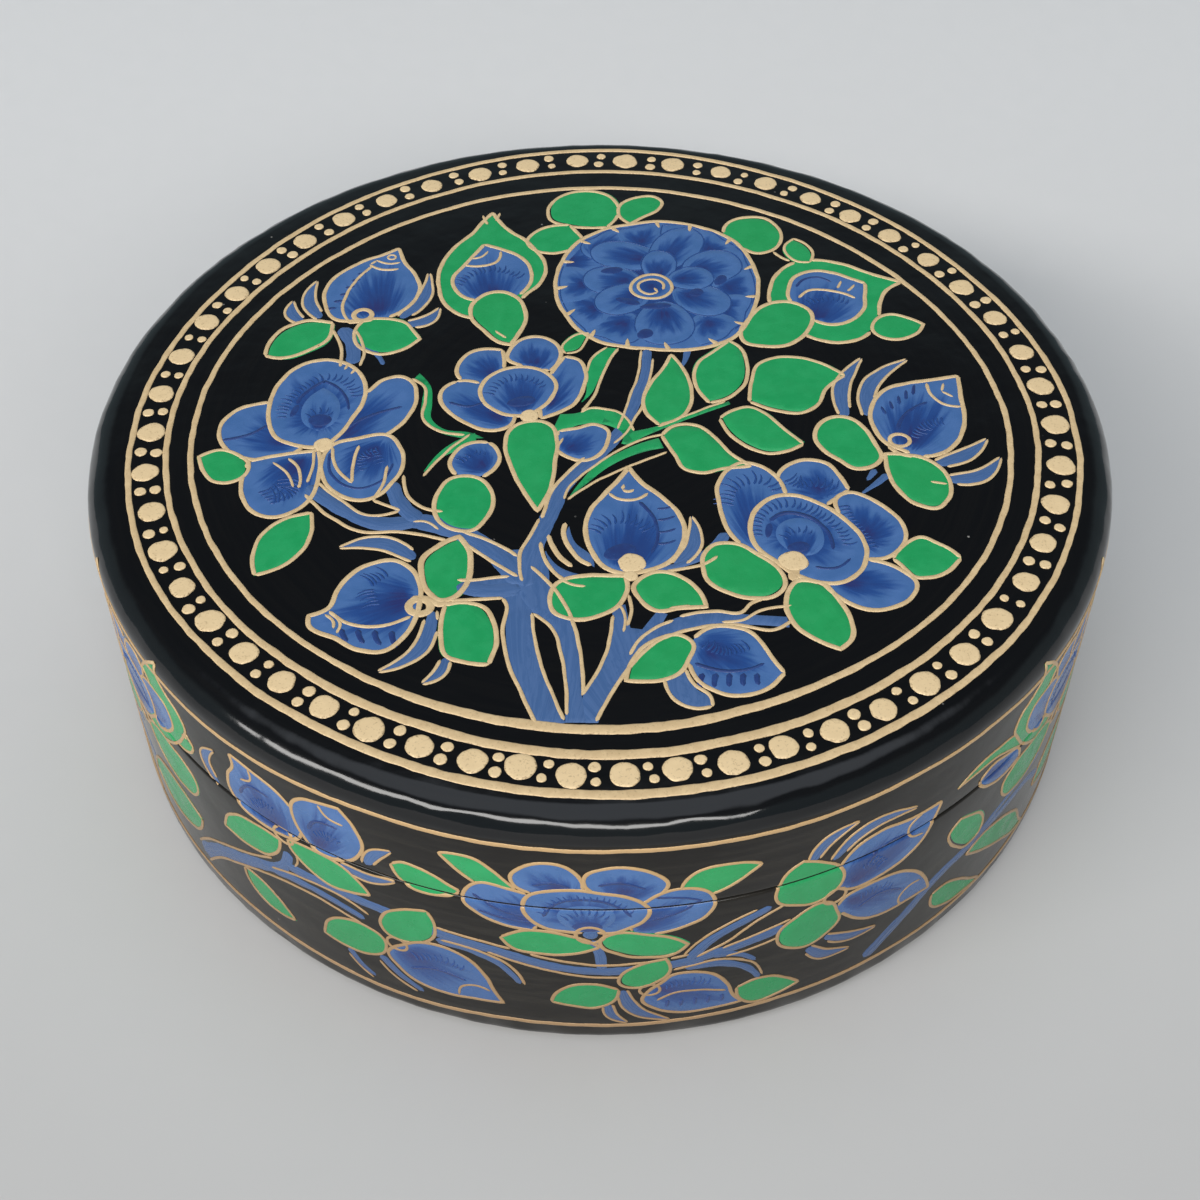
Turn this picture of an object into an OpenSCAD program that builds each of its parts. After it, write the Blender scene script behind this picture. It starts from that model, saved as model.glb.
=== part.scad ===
// Round lidded box of papier-mache, black lacquered, with a painted tree of blooms and buds.
// Origin: centre of the underside. +Z up. The front of the painting faces -Y. Millimetres.

/* [Body] */
// Outside diameter of the lacquered walls
box_d = 120; // [100:1:150]
// Height of the closed box, from the table to the lacquered top of the lid
box_h = 40; // [38:1:60]
// Height of the seam between base and lid above the table
seam_h = 26; // [23:0.5:28]
// Thickness of the pulp hoops that form the walls
wall_t = 4; // [3:0.1:5]
// Thickness of the floor disc
floor_t = 4; // [3:0.1:6]
// Thickness of the lid's top disc
top_t = 4; // [3.5:0.1:6]
// Radius of the rounded shoulder round the lid
shoulder_r = 3; // [1.5:0.1:3.4]
// Radius of the rounded edge round the foot
foot_r = 2; // [1:0.1:2.8]
// Radius of the softened lips at the seam
lip_r = 0.5; // [0.2:0.1:0.8]

/* [Collar] */
// Thickness of the glued inner hoop that the lid seats over
collar_t = 2; // [1.5:0.1:3]
// Height that the collar stands above the seam
collar_rise = 5.5; // [3:0.1:6]
// Glue line between the collar and the base wall
glue_gap = 0.05; // [0.02:0.01:0.1]
// Clearance all round between the collar and the lid wall
lid_clear = 0.3; // [0.2:0.05:0.5]

/* [Paint] */
// Thickness of the raised gold paint
gold_t = 0.16; // [0.1:0.01:0.3]
// Thickness of the green and blue paint
fill_t = 0.1; // [0.06:0.01:0.2]
// Width of the drawn gold outline round each leaf and petal
outline_w = 0.7; // [0.4:0.05:0.9]
// Width of the gold border lines
border_w = 1; // [0.6:0.05:1.4]
// Height of the gold line round the base above the table
base_line_h = 3.7; // [3.5:0.1:6]
// Distance of the gold line round the lid below the lid's top
lid_line_drop = 3.8; // [3.6:0.1:5]
// Distance of the outermost gold ring from the box's edge
ring_margin = 4.4; // [3.8:0.1:6]
// Distance between the two gold rings that hold the bead row
bead_row_w = 4.6; // [4:0.1:6]
// Distance between the bead row and the innermost gold ring
field_gap = 3.2; // [2:0.1:4]
// Diameter of a large painted bead
bead_d = 3.1; // [2:0.1:3.3]
// Diameter of the small painted beads between the large ones
dot_d = 1.1; // [0.8:0.05:1.3]
// Number of large beads round the lid
bead_count = 52; // [40:1:60]
// Number of times the wall painting repeats round the box
repeats = 3; // [1:1:3]

/* [Hidden] */

$fn = 128;
box_r = box_d / 2;
inner_r = box_r - wall_t;
collar_r = inner_r - glue_gap;
lid_inner_r = collar_r + lid_clear;
lid_under_h = box_h - top_t;

// The rings of the lid, from the edge inwards, by the middle of each line
ring_1_r = box_r - ring_margin;
ring_2_r = ring_1_r - bead_row_w;
ring_3_r = ring_2_r - field_gap;
bead_row_r = (ring_1_r + ring_2_r) / 2;

// The lid painting is drawn for a field of this radius, and follows the field
drawn_field_r = 47.8;
art_k = ring_3_r / drawn_field_r;

// The wall painting is drawn for a wall of this radius, a box of this height and a seam at this height
drawn_wall_r = 60;
drawn_box_h = 40;
drawn_seam_h = 26;
band_k = min(box_r / drawn_wall_r, box_h / drawn_box_h);

// Heights between which the wall painting shows, on the base and on the lid
base_band_low = base_line_h + border_w / 2;
base_band_high = seam_h - lip_r;
lid_band_low = seam_h + lip_r;
lid_band_high = min(lid_under_h, box_h - lid_line_drop - border_w / 2);

// Steps along one side of a painted outline, closer together at its ends
blade_steps = 8;
limb_steps = 6;

// Colours of the finished box
lacquer = [0.07, 0.075, 0.08];
gold = [0.84, 0.7, 0.45];
leaf_green = [0.16, 0.6, 0.38];
petal_blue = [0.24, 0.4, 0.66];
stem_blue = [0.3, 0.44, 0.66];

// How full a shape is towards its ends, and where its belly lies
LEAF = [0.82, 0.78];
PETAL = [1, 0.5];
BUD = [0.74, 0.62];
SEPAL = [0.9, 0.8];

// Each painted shape: x and y of its foot, x and y of its tip, greatest width, bow to the left
lid_leaf_list = [
    [0, 38.6, -3.6, 46, 8.6, 0], [2.6, 39.8, 8.2, 44.8, 3.8, 0], [-1.8, 37, -9, 33.4, 5, 0],
    [18.2, 33, 21.6, 40.6, 7, 0], [26.6, 30.4, 25.4, 35.4, 3.4, 0], [-12.6, 23.6, -11.4, 13.6, 6.6, 0.6],
    [25.8, 20.2, 17.8, 14.4, 7.6, -0.6], [34.4, 16.6, 40, 17.2, 4.4, 0], [-33.4, 17.2, -40.8, 11, 6.2, 0.4],
    [-30, 17.6, -22.8, 14.2, 5.6, -1.2], [-40.6, -9.4, -45.3, -7.4, 5.2, 0.4],
    [-32.6, -16.8, -37.4, -26, 5, 0],
    [-8, -1, -7, -16, 5.6, 0], [7, -1.4, 8.6, 11, 5.4, 0], [13, 2.4, 16.4, 13.6, 6, 0],
    [18.2, 2.8, 29, 8, 9, 0.6], [14.6, 0.2, 23.2, -5, 5.2, 0], [7.6, -3.2, 16.6, -9, 5.8, 0],
    [-15, -10.8, -15.4, -19, 6, 0], [2.8, -27, -5, -29.8, 5.8, 0.8], [4, -27.4, 11, -30.8, 4.8, 1.2],
    [20, -27, 11.6, -23.4, 6.4, 0], [21.6, -27.4, 25, -36.8, 5.6, 0], [33.4, -24.6, 39.2, -23.8, 5.2, 0],
    [31.6, -8.6, 27, -0.6, 6, 0], [34, -6.8, 38.6, -15.4, 6, 0], [-15.6, -20.4, -17, -29.6, 4.8, 0],
    [-16.2, -30.6, -12.4, -38.8, 5.6, 0.6], [9.4, -35.8, 2.8, -41, 4.6, 0], [-3.6, 11.4, -1.6, 15.4, 1.6, 0]
];
lid_front_petal_list = [
    [-32.4, -5.2, -34.4, 10.2, 10.4, 0], [-8.6, 0.3, -10.2, 9, 8.8, 0], [20.6, -25.6, 23.2, -14, 11, 0]
];
lid_back_petal_list = [
    [-34.6, -6, -43.6, 1, 7, 1.4], [-31.6, -5, -22.8, 6.6, 6.6, -1.2], [-33, -6.2, -38, -17, 7.6, 0.8],
    [-31.6, -6, -24.8, -14, 7.6, 2.2], [-8.2, 8, -8, 14.8, 6.4, 0], [-11, 5, -16.8, 11.2, 6.2, 0],
    [-7.4, 0, -2.6, 10.6, 5, -1.2], [-9.6, -0.6, -18.4, 4.6, 6, 1.4], [20, -23.6, 15.6, -8.6, 7, 0.6],
    [21, -15, 24.8, -8, 6.2, -0.4], [27, -22, 30.6, -13.8, 5.8, -1.6], [24, -26.8, 33.2, -28, 6.6, -1]
];
lid_bud_list = [
    [-29.6, 18.4, -26.6, 33, 11.2, 0.4], [-14, 22.6, -15, 33.8, 10, -0.6], [28, 17.6, 33.4, 25.6, 9.2, 2.4],
    [35, -6, 43, 7, 10.6, -0.6], [3.6, -25.6, 3.3, -9.4, 10.8, 0], [-19.4, -30.4, -30.4, -32.8, 11.6, 0],
    [10, -37, 17.8, -40, 9, -0.6], [-1.8, -7.6, -1, -1.8, 5.6, 0], [-12, -5.4, -16, -10.2, 5.2, 0]
];
lid_sheath_list = [
    [-14.2, 20.6, -14.4, 41, 13.2, 0], [25, 16.8, 38, 26, 14.6, 1.6]
];
lid_sepal_list = [
    [-25.2, 18.8, -21.8, 27.4, 1.4, -1.6], [-24, 17, -20, 21, 1.4, -0.6], [-35, 18.6, -36.2, 26, 1.2, 1],
    [-37.4, 17.8, -38.8, 21.8, 1.2, 0.5], [29.4, 0, 31.8, 10.4, 1.6, 1.6],
    [31.4, -0.6, 37.4, 10.4, 1.6, 2.2],
    [38.8, -8.6, 45.2, -4, 1.6, -0.8], [39.8, -11, 45.2, -7.8, 1.8, -1.2], [-1.4, -24.6, -3.8, -18, 1.4, 1],
    [-3.4, -25.4, -6, -20.2, 1.4, 0.6], [8.4, -24.8, 10.4, -17.2, 1.4, -1],
    [-20, -24.6, -28.2, -22, 1.6, -1.8], [-17.8, -31.8, -22.8, -40, 1.2, -1.8],
    [-15.6, -38, -18.2, -41.6, 1, -0.8], [8.4, -40.2, 10.8, -44.4, 2.6, 0.6],
    [-15.6, -3.2, -21.6, 7.8, 1.2, 1.6], [-4, 0.6, 1.8, 12.4, 2, -2], [-15.8, -3.6, -20, -10, 0.8, 0.4]
];
// Each branch: three points of one curve, then its width at the start and at the end
lid_limb_list = [
    [-5, -45.8, -10, -37, -8.2, -27.6, 2.4, 3], [-2.4, -45.8, -2.6, -36, -7.4, -29, 2, 2],
    [-1.2, -45.4, 2.4, -34.4, 9, -32.6, 1.6, 1.8], [9, -32.6, 14, -31.4, 19.6, -33, 1.8, 1.6],
    [-8.8, -28.4, -12, -28.8, -14.4, -27.8, 2, 2], [-8.8, -25.6, -15, -19.6, -21.8, -17.4, 1.8, 1.8],
    [-20, -17.6, -27.6, -18.4, -33.2, -12.8, 1.8, 1.4], [-19.6, -18, -22.4, -15, -23.8, -11.4, 1.8, 1.2],
    [-8.2, -28.4, -8.4, -19.4, -4.4, -13.4, 2, 1.8], [-4.6, -13.8, 2.6, -5, 4, 4, 1.8, 1.2],
    [4, 4, 4.8, 8, 5, 12.4, 1.2, 1.2], [-32.4, 15.4, -30.4, 13.4, -30.2, 9.4, 1.4, 1.2],
    [2.6, -35.6, 2, -33.6, 3.4, -31.4, 1, 0.8], [3.6, -3.4, 8, -0.2, 14.6, 2, 1.4, 0.8],
    [-4, -14, 0, -8, 7, -5.4, 0.8, 1.4]
];
// Round gold beads: x, y and diameter
lid_knob_list = [
    [-29.8, 19.2, 2.8], [34.8, -4.6, 2.6], [3.5, -24.4, 2.9], [-19.4, -31, 2.4], [21.1, -24.4, 3.2],
    [-32.2, -5, 2.2], [-8.4, 0.2, 2], [6.6, 25.2, 4.4]
];
rosette = [7.4, 25.9, 13.1];
rosette_lobes = 22;
rosette_lobe_rise = 0.3;

// The wall painting, in the same terms: x runs along the wall, y is the height above the table.
// Each group is painted as one patch, square to the wall at its middle. A group holds its middle,
// then its branches, sepals, back petals, front petals, buds, leaves and knobs.
bloom_group = [
    0,
    [[-14.4, 17.4, -7, 15, 2.6, 14.8, 1.2, 1.2]],
    [],
    [
        [-3, 22.8, -13.4, 27, 5.4, 0], [1.4, 22.6, 11.2, 26.6, 5.2, 0],
        [-3.6, 28, -6.4, 33.2, 6, 0], [2, 27.8, 3.2, 33, 6.4, 0]
    ],
    [[-1.2, 22.4, -1.5, 29, 11.8, 0]],
    [],
    [
        [-0.8, 20, -10, 19.6, 3.6, 0], [0.6, 20, 8.8, 18.8, 4, -0.6], [-9.8, 29.8, -15.6, 33, 2.8, -0.6],
        [9, 28.6, 16, 31.2, 3.8, 0.6], [-20.4, 27.4, -14.6, 26.8, 3.6, 0]
    ],
    [[-1, 21.7, 2.8]]
];
upright_group = [
    -35,
    [[-52.4, 5.6, -44, 15, -36.4, 18.8, 2, 1.4], [-36.4, 18.8, -32, 19.8, -27.8, 19.4, 1.2, 1.2]],
    [
        [-24.8, 26.2, -21.8, 30.4, 1.4, 0], [-45, 26.4, -44.6, 31.8, 1.2, 0.8],
        [-25, 24.6, -21, 25.8, 0.8, 0]
    ],
    [],
    [],
    [[-30.4, 25.8, -27.2, 34.8, 7.4, -0.4], [-36.6, 25, -41, 33.4, 7.2, 0.6]],
    [
        [-34.4, 24, -25.4, 21.8, 3.8, 0.4], [-36.2, 23.4, -45.2, 18.8, 3.8, -0.8],
        [-43.6, 12.2, -37.4, 8.6, 4.6, 0.4]
    ],
    [[-35.4, 24.8, 2]]
];
low_left_group = [
    -20,
    [[-27.4, 19.4, -21, 19.6, -14.8, 17.6, 1.2, 1.2]],
    [[-17.4, 16.8, -9, 11.6, 1.4, 1.4], [-25, 9.8, -21, 5.6, 1.4, -0.6]],
    [],
    [],
    [[-22.4, 13.4, -11.6, 7.2, 6.8, 0.4]],
    [[-23.2, 15.2, -18.4, 21.2, 4.6, 0], [-24.4, 13.4, -31.6, 9.8, 4.2, -0.4]],
    [[-22.4, 13.8, 1.8]]
];
low_right_group = [
    10,
    [
        [3, 14.8, 8, 14.6, 13.4, 16.8, 1.2, 1.4], [13.4, 16.8, 15, 17.6, 17.6, 17.8, 1.2, 1],
        [9.6, 15.8, 11.6, 19.6, 16.8, 22, 1, 1]
    ],
    [[9.4, 14.2, 17, 10.2, 1, 1.6], [2.6, 9.6, 5.6, 5.6, 1.2, -0.4]],
    [],
    [],
    [[5.6, 10, 15, 6.8, 5.8, 0.4]],
    [[1.8, 10.8, -5, 8.8, 3.6, -0.4], [3.2, 11.8, 7, 16.2, 3.2, 0], [15.6, 7.8, 22, 6.8, 3, 0.2]],
    [[5.4, 10.6, 2.2]]
];
pair_group = [
    30,
    [[33, 5.4, 37, 11.4, 44.6, 12.2, 2, 2]],
    [
        [22.6, 28.6, 27, 33, 1.4, 0.8], [25, 28, 34, 31, 1.4, 1.2], [23, 12.6, 28.4, 9, 1.2, -0.4],
        [25.4, 13.4, 31.8, 10.8, 1.4, -0.2]
    ],
    [],
    [],
    [[26.2, 22.4, 37.6, 28, 6.2, 0.6], [26.4, 19.6, 38, 14.4, 5.2, 0]],
    [
        [25, 21.6, 21, 29, 6, 0.4], [25, 20, 21.6, 13.4, 5.4, -0.4],
        [45.4, 15.2, 42, 21.8, 4, 0], [40.8, 8.6, 47.6, 5, 3, 0]
    ],
    [[25.4, 20.9, 2.2]]
];
sheathed_group = [
    62.8,
    [[46.4, 13, 53, 16, 61.6, 18, 1.4, 1.2]],
    [],
    [
        [59.4, 24, 54.6, 31.6, 5.4, 0.8], [66.2, 24, 71, 31.6, 5.4, -0.8], [60.4, 29.4, 58.8, 34.6, 5, 0.3],
        [65.2, 29.4, 66.8, 34.6, 5, -0.3], [52.4, 24.2, 45.2, 27, 2.8, 0]
    ],
    [[62.8, 22.8, 62.8, 30.8, 9.4, 0]],
    [],
    [
        [57.4, 24.6, 53.6, 37.6, 4, 2.4], [68.2, 24.6, 72, 37.6, 4, -2.4],
        [61.8, 20.6, 51.4, 20.2, 5.2, 0.4],
        [63.8, 20.6, 73, 19.8, 5.2, -0.4], [55.2, 25.6, 42, 29, 1.6, -1.6], [73, 27.8, 77, 30.4, 3, 0],
        [74.8, 19.8, 79.2, 23.4, 3.2, 0], [48.4, 11.4, 58.2, 6, 4.6, -0.4], [62, 9.2, 72, 14.2, 4.6, 0.4]
    ],
    [[62.8, 21.4, 2.4]]
];
wall_groups = [bloom_group, upright_group, low_left_group, low_right_group, pair_group, sheathed_group];

// Turn about the axis for a distance along the wall
function wall_angle(s) = s / drawn_wall_r * 180 / PI;

function eased(t) = (1 - cos(180 * t)) / 2;

// Outline of a leaf, petal, bud or sepal, grown outwards by grow
function blade(m, form, grow) =
    let (
        foot = [m[0], m[1]],
        tip = [m[2], m[3]],
        len = norm(tip - foot),
        u = (tip - foot) / len,
        n = [-u.y, u.x],
        half = m[4] / 2 + grow,
        spot = function (t, side)
            foot + u * (t * (len + 2 * grow) - grow)
                + n * (4 * m[5] * t * (1 - t) + side * half * pow(sin(180 * pow(t, form[0])), form[1]))
    )
    concat(
        [for (i = [0:blade_steps]) spot(eased(i / blade_steps), 1)],
        [for (i = [blade_steps - 1:-1:1]) spot(eased(i / blade_steps), -1)]
    );

// Outline of a branch that follows one bent curve and tapers, grown sideways by grow
function limb(m, grow) =
    let (
        a = [m[0], m[1]],
        b = [m[2], m[3]],
        c = [m[4], m[5]],
        at = function (t) a * (1 - t) * (1 - t) + b * 2 * t * (1 - t) + c * t * t,
        way = function (t) (b - a) * (1 - t) + (c - b) * t,
        half = function (t) (m[6] * (1 - t) + m[7] * t) / 2 + grow,
        spot = function (t, side) let (w = way(t) / norm(way(t))) at(t) + side * half(t) * [-w.y, w.x]
    )
    concat(
        [for (i = [0:limb_steps]) spot(i / limb_steps, 1)],
        [for (i = [limb_steps:-1:0]) spot(i / limb_steps, -1)]
    );

// Scalloped outline of the many-petalled bloom
function scallop(grow) = [
    for (i = [0:4 * rosette_lobes - 1])
        let (
            a = i * 90 / rosette_lobes,
            r = rosette[2] + grow + rosette_lobe_rise * abs(sin(a * rosette_lobes / 2))
        )
        [rosette[0] + r * cos(a), rosette[1] + r * sin(a)]
];

// Flat shapes of the lid painting, from the lowest layer to the highest
module blades(list, form, grow) {
    for (m = list) polygon(blade(m, form, grow));
}

module limbs(list, grow) {
    for (m = list) polygon(limb(m, grow));
}

module knobs(list) {
    for (m = list) translate([m[0], m[1]]) circle(d = m[2], $fn = 24);
}

module lid_layer(level, grow) {
    if (level == 0) limbs(lid_limb_list, grow);
    if (level == 1) blades(lid_sepal_list, SEPAL, grow);
    if (level == 2) {
        blades(lid_back_petal_list, PETAL, grow);
        polygon(scallop(grow));
    }
    if (level == 3) blades(lid_sheath_list, BUD, grow);
    if (level == 4) {
        blades(lid_front_petal_list, PETAL, grow);
        blades(lid_bud_list, BUD, grow);
    }
    if (level == 5) blades(lid_leaf_list, LEAF, grow);
    if (level == 6) knobs(lid_knob_list);
}
top_level = 6;

// What stays bare of one layer: everything painted over it, with the gold outlines
module lid_visible(level) {
    difference() {
        lid_layer(level, 0);
        for (above = [level + 1:1:top_level]) lid_layer(above, outline_w);
    }
}

// A film of paint on the lid's flat top
module on_lid(thickness) {
    translate([0, 0, box_h]) linear_extrude(thickness) children();
}

module ring_line(r) {
    difference() {
        circle(r + border_w / 2);
        circle(r - border_w / 2);
    }
}

// A film of paint round the wall, between two heights
module wall_shell(low, high, thickness) {
    translate([0, 0, low]) difference() {
        cylinder(h = high - low, r = box_r + thickness);
        translate([0, 0, -1]) cylinder(h = high - low + 2, r = box_r);
    }
}

// One flat shape of the wall painting, cut out of the film where it wraps the wall
module on_wall(s, low, high, thickness) {
    bite = 3.2;
    intersection() {
        wall_shell(low, high, thickness);
        rotate([0, 0, s]) translate([0, -box_r + bite, 0]) rotate([90, 0, 0])
            linear_extrude(2 * bite)
                translate([0, seam_h]) scale(band_k) translate([0, -drawn_seam_h]) children();
    }
}

// Flat shapes of one group of the wall painting, from the lowest layer to the highest
module wall_layer(group, level, grow) {
    if (level == 0) limbs(group[1], grow);
    if (level == 1) blades(group[2], SEPAL, grow);
    if (level == 2) blades(group[3], PETAL, grow);
    if (level == 3) {
        blades(group[4], PETAL, grow);
        blades(group[5], BUD, grow);
    }
    if (level == 4) blades(group[6], LEAF, grow);
    if (level == 5) knobs(group[7]);
}
wall_top_level = 5;

module wall_visible(group, level) {
    difference() {
        wall_layer(group, level, 0);
        for (above = [level + 1:1:wall_top_level]) wall_layer(group, above, outline_w);
    }
}

// The shapes that a group has on one layer; front petals and buds share layer 3
function painted(group, level) =
    level == 3 ? concat(group[4], group[5]) : group[level < 3 ? level + 1 : level + 2];

// One layer of every group, all round the wall, between two heights
module band(level, low, high, thickness) {
    for (k = [0:repeats - 1])
        for (group = wall_groups)
            if (len(painted(group, level)) > 0)
                on_wall(k * 360 / repeats + wall_angle(group[0]), low, high, thickness)
                    translate([-group[0], 0]) wall_visible(group, level);
}

// Pieces of the base
module base_floor() {
    color(lacquer) rotate_extrude() {
        square([box_r - foot_r, floor_t]);
        translate([0, foot_r]) square([box_r, floor_t - foot_r]);
        translate([box_r - foot_r, foot_r]) circle(foot_r);
    }
}

// A hoop standing from low to high, with its outer lip softened at the seam end
module hoop(low, high, r_in, r_out, lip_up) {
    rotate_extrude() difference() {
        translate([r_in, low]) square([r_out - r_in, high - low]);
        translate([r_out - lip_r, lip_up ? high - lip_r : low + lip_r])
            difference() {
                translate([0, lip_up ? 0 : -lip_r]) square(lip_r);
                circle(lip_r, $fn = 32);
            }
    }
}

module base_wall() {
    color(lacquer) hoop(floor_t, seam_h, inner_r, box_r, true);
}

module base_collar() {
    color(lacquer) hoop(floor_t, seam_h + collar_rise, collar_r - collar_t, collar_r, true);
}

// Pieces of the lid
module lid_wall() {
    color(lacquer) hoop(seam_h, lid_under_h, lid_inner_r, box_r, false);
}

module lid_top() {
    color(lacquer) rotate_extrude() {
        translate([0, lid_under_h]) square([box_r - shoulder_r, top_t]);
        translate([0, lid_under_h]) square([box_r, top_t - shoulder_r]);
        translate([box_r - shoulder_r, box_h - shoulder_r]) intersection() {
            circle(shoulder_r);
            square(shoulder_r);
        }
    }
}

// Painting on the lid's top
module lid_rings() {
    color(gold) on_lid(gold_t) {
        ring_line(ring_1_r);
        ring_line(ring_2_r);
        ring_line(ring_3_r);
    }
}

module lid_beads() {
    dot_gap = (bead_row_w - border_w) / 4;
    color(gold) on_lid(gold_t)
        for (k = [0:bead_count - 1])
            rotate(k * 360 / bead_count) {
                translate([bead_row_r, 0]) circle(d = bead_d, $fn = 32);
                rotate(180 / bead_count)
                    for (side = [-1, 1])
                        translate([bead_row_r + side * dot_gap, 0]) circle(d = dot_d, $fn = 24);
            }
}

module lid_outlines() {
    color(gold) on_lid(gold_t) scale(art_k) difference() {
        for (level = [0:top_level]) lid_layer(level, outline_w);
        for (level = [0:top_level - 1]) lid_visible(level);
    }
}

module lid_leaves() {
    color(leaf_green) on_lid(fill_t) scale(art_k) {
        lid_visible(5);
        lid_visible(3);
    }
}

module lid_blooms() {
    color(petal_blue) on_lid(fill_t) scale(art_k) {
        lid_visible(2);
        difference() {
            blades(lid_front_petal_list, PETAL, 0);
            for (above = [5:top_level]) lid_layer(above, outline_w);
        }
    }
}

module lid_buds() {
    color(petal_blue) on_lid(fill_t) scale(art_k) difference() {
        blades(lid_bud_list, BUD, 0);
        blades(lid_front_petal_list, PETAL, outline_w);
        for (above = [5:top_level]) lid_layer(above, outline_w);
    }
}

module lid_sepals() {
    color(stem_blue) on_lid(fill_t) scale(art_k) lid_visible(1);
}

module lid_branches() {
    color(stem_blue) on_lid(fill_t) scale(art_k) lid_visible(0);
}

// Painting round the lid's side
module lid_side_line() {
    middle = box_h - lid_line_drop;
    color(gold) wall_shell(max(middle - border_w / 2, seam_h + lip_r), middle + border_w / 2, gold_t);
}

module lid_side_leaves() {
    color(leaf_green) band(4, lid_band_low, lid_band_high, fill_t);
}

module lid_side_blooms() {
    color(petal_blue) {
        band(2, lid_band_low, lid_band_high, fill_t);
        band(3, lid_band_low, lid_band_high, fill_t);
    }
}

module lid_side_sepals() {
    color(stem_blue) band(1, lid_band_low, lid_band_high, fill_t);
}

// Painting round the base
module base_side_line() {
    color(gold) wall_shell(base_line_h - border_w / 2, base_line_h + border_w / 2, gold_t);
}

module base_side_leaves() {
    color(leaf_green) band(4, base_band_low, base_band_high, fill_t);
}

module base_side_blooms() {
    color(petal_blue) {
        band(2, base_band_low, base_band_high, fill_t);
        band(3, base_band_low, base_band_high, fill_t);
    }
}

module base_side_stems() {
    color(stem_blue) {
        band(0, base_band_low, base_band_high, fill_t);
        band(1, base_band_low, base_band_high, fill_t);
    }
}

module base_side_knobs() {
    color(gold) band(5, base_band_low, base_band_high, gold_t);
}

base_floor();
base_wall();
base_collar();
lid_wall();
lid_top();
lid_rings();
lid_beads();
lid_outlines();
lid_leaves();
lid_blooms();
lid_buds();
lid_sepals();
lid_branches();
lid_side_line();
lid_side_leaves();
lid_side_blooms();
lid_side_sepals();
base_side_line();
base_side_leaves();
base_side_blooms();
base_side_stems();
base_side_knobs();
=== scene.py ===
"""A round, low papier-mache box with a loose lid, black lacquered and painted with a tree of blooms.

The two shells and the collar are turned in fine profile. The painting is built as paint: flat fills in
green and blue and raised gold lines, drawn in millimetres on the lid's top and along the wall.
"""

import math
import random

import bpy
import numpy as np
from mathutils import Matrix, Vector, geometry, noise


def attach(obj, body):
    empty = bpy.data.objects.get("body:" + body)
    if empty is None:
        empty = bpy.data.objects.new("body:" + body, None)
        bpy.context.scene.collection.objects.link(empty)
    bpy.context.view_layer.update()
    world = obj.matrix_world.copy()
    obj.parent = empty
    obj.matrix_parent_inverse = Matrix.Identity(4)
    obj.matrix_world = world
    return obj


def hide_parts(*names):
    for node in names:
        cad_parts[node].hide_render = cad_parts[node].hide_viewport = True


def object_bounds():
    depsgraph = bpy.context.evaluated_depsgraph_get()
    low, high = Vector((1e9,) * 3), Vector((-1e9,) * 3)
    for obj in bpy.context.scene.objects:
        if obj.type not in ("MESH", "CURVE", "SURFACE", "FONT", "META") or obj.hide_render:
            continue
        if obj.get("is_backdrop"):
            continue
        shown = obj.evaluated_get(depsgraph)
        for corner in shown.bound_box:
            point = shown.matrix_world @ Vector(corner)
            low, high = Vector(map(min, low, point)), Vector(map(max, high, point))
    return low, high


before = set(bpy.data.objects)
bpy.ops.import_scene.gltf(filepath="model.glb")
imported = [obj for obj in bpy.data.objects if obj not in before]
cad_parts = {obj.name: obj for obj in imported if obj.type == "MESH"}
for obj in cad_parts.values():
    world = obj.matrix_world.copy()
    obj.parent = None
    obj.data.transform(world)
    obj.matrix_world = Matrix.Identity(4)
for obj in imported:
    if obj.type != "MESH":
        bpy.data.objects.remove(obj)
cad_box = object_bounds()

# The shells, in millimetres
MM = 0.001
BOX_R, BOX_H, SEAM_H = 60, 40, 26
SHOULDER_R, FOOT_R, LIP_R, SEAM_GAP = 3, 2, 0.48, 0.04
COLLAR_OUT, COLLAR_IN, COLLAR_TOP = 55.95, 53.95, 31.5
WALL_IN, LID_IN, TOP_UNDER, FLOOR_TOP = 56, 56.25, 36, 4

# The band: how often it goes round, where its two halves part, and how it bends over the lips
LAPS = 3
REPEAT = 2 * math.pi * BOX_R / LAPS
BLOOM_MIDDLE, HALVES_MEET = 62.83, 9
UPPER_LINE_H, LOWER_LINE_H = 36.25, 3.7
LIP_CUTS = (0.06, 0.14, 0.23, 0.34, 0.44, 0.52)
BARE_LIP = 0.14

# Heights of paint over the lacquer; every rim starts SINK below it
SINK, FILM, COAT, ALL_COATS = 0.012, 0.016, 0.006, 0.032
INK_TOP, LINE_TOP, DROP_TOP = 0.052, 0.088, 0.105

# The drawing
CORNER = math.radians(64)
BEADS = 52
ROSETTE_MIDDLE = Vector((7.3, 26))


class Value:
    """A socket in a material, on which Python's operators add Math nodes."""

    def __init__(self, finish, socket):
        self.finish, self.socket = finish, socket

    def math(self, operation, *values):
        """A Math node over these values."""
        return self.finish.add("ShaderNodeMath", {"operation": operation}, dict(enumerate(values)))

    def __add__(self, other):
        return self.math("ADD", self, other)

    def __sub__(self, other):
        return self.math("SUBTRACT", self, other)

    def __mul__(self, other):
        return self.math("MULTIPLY", self, other)

    __radd__ = __add__


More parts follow.
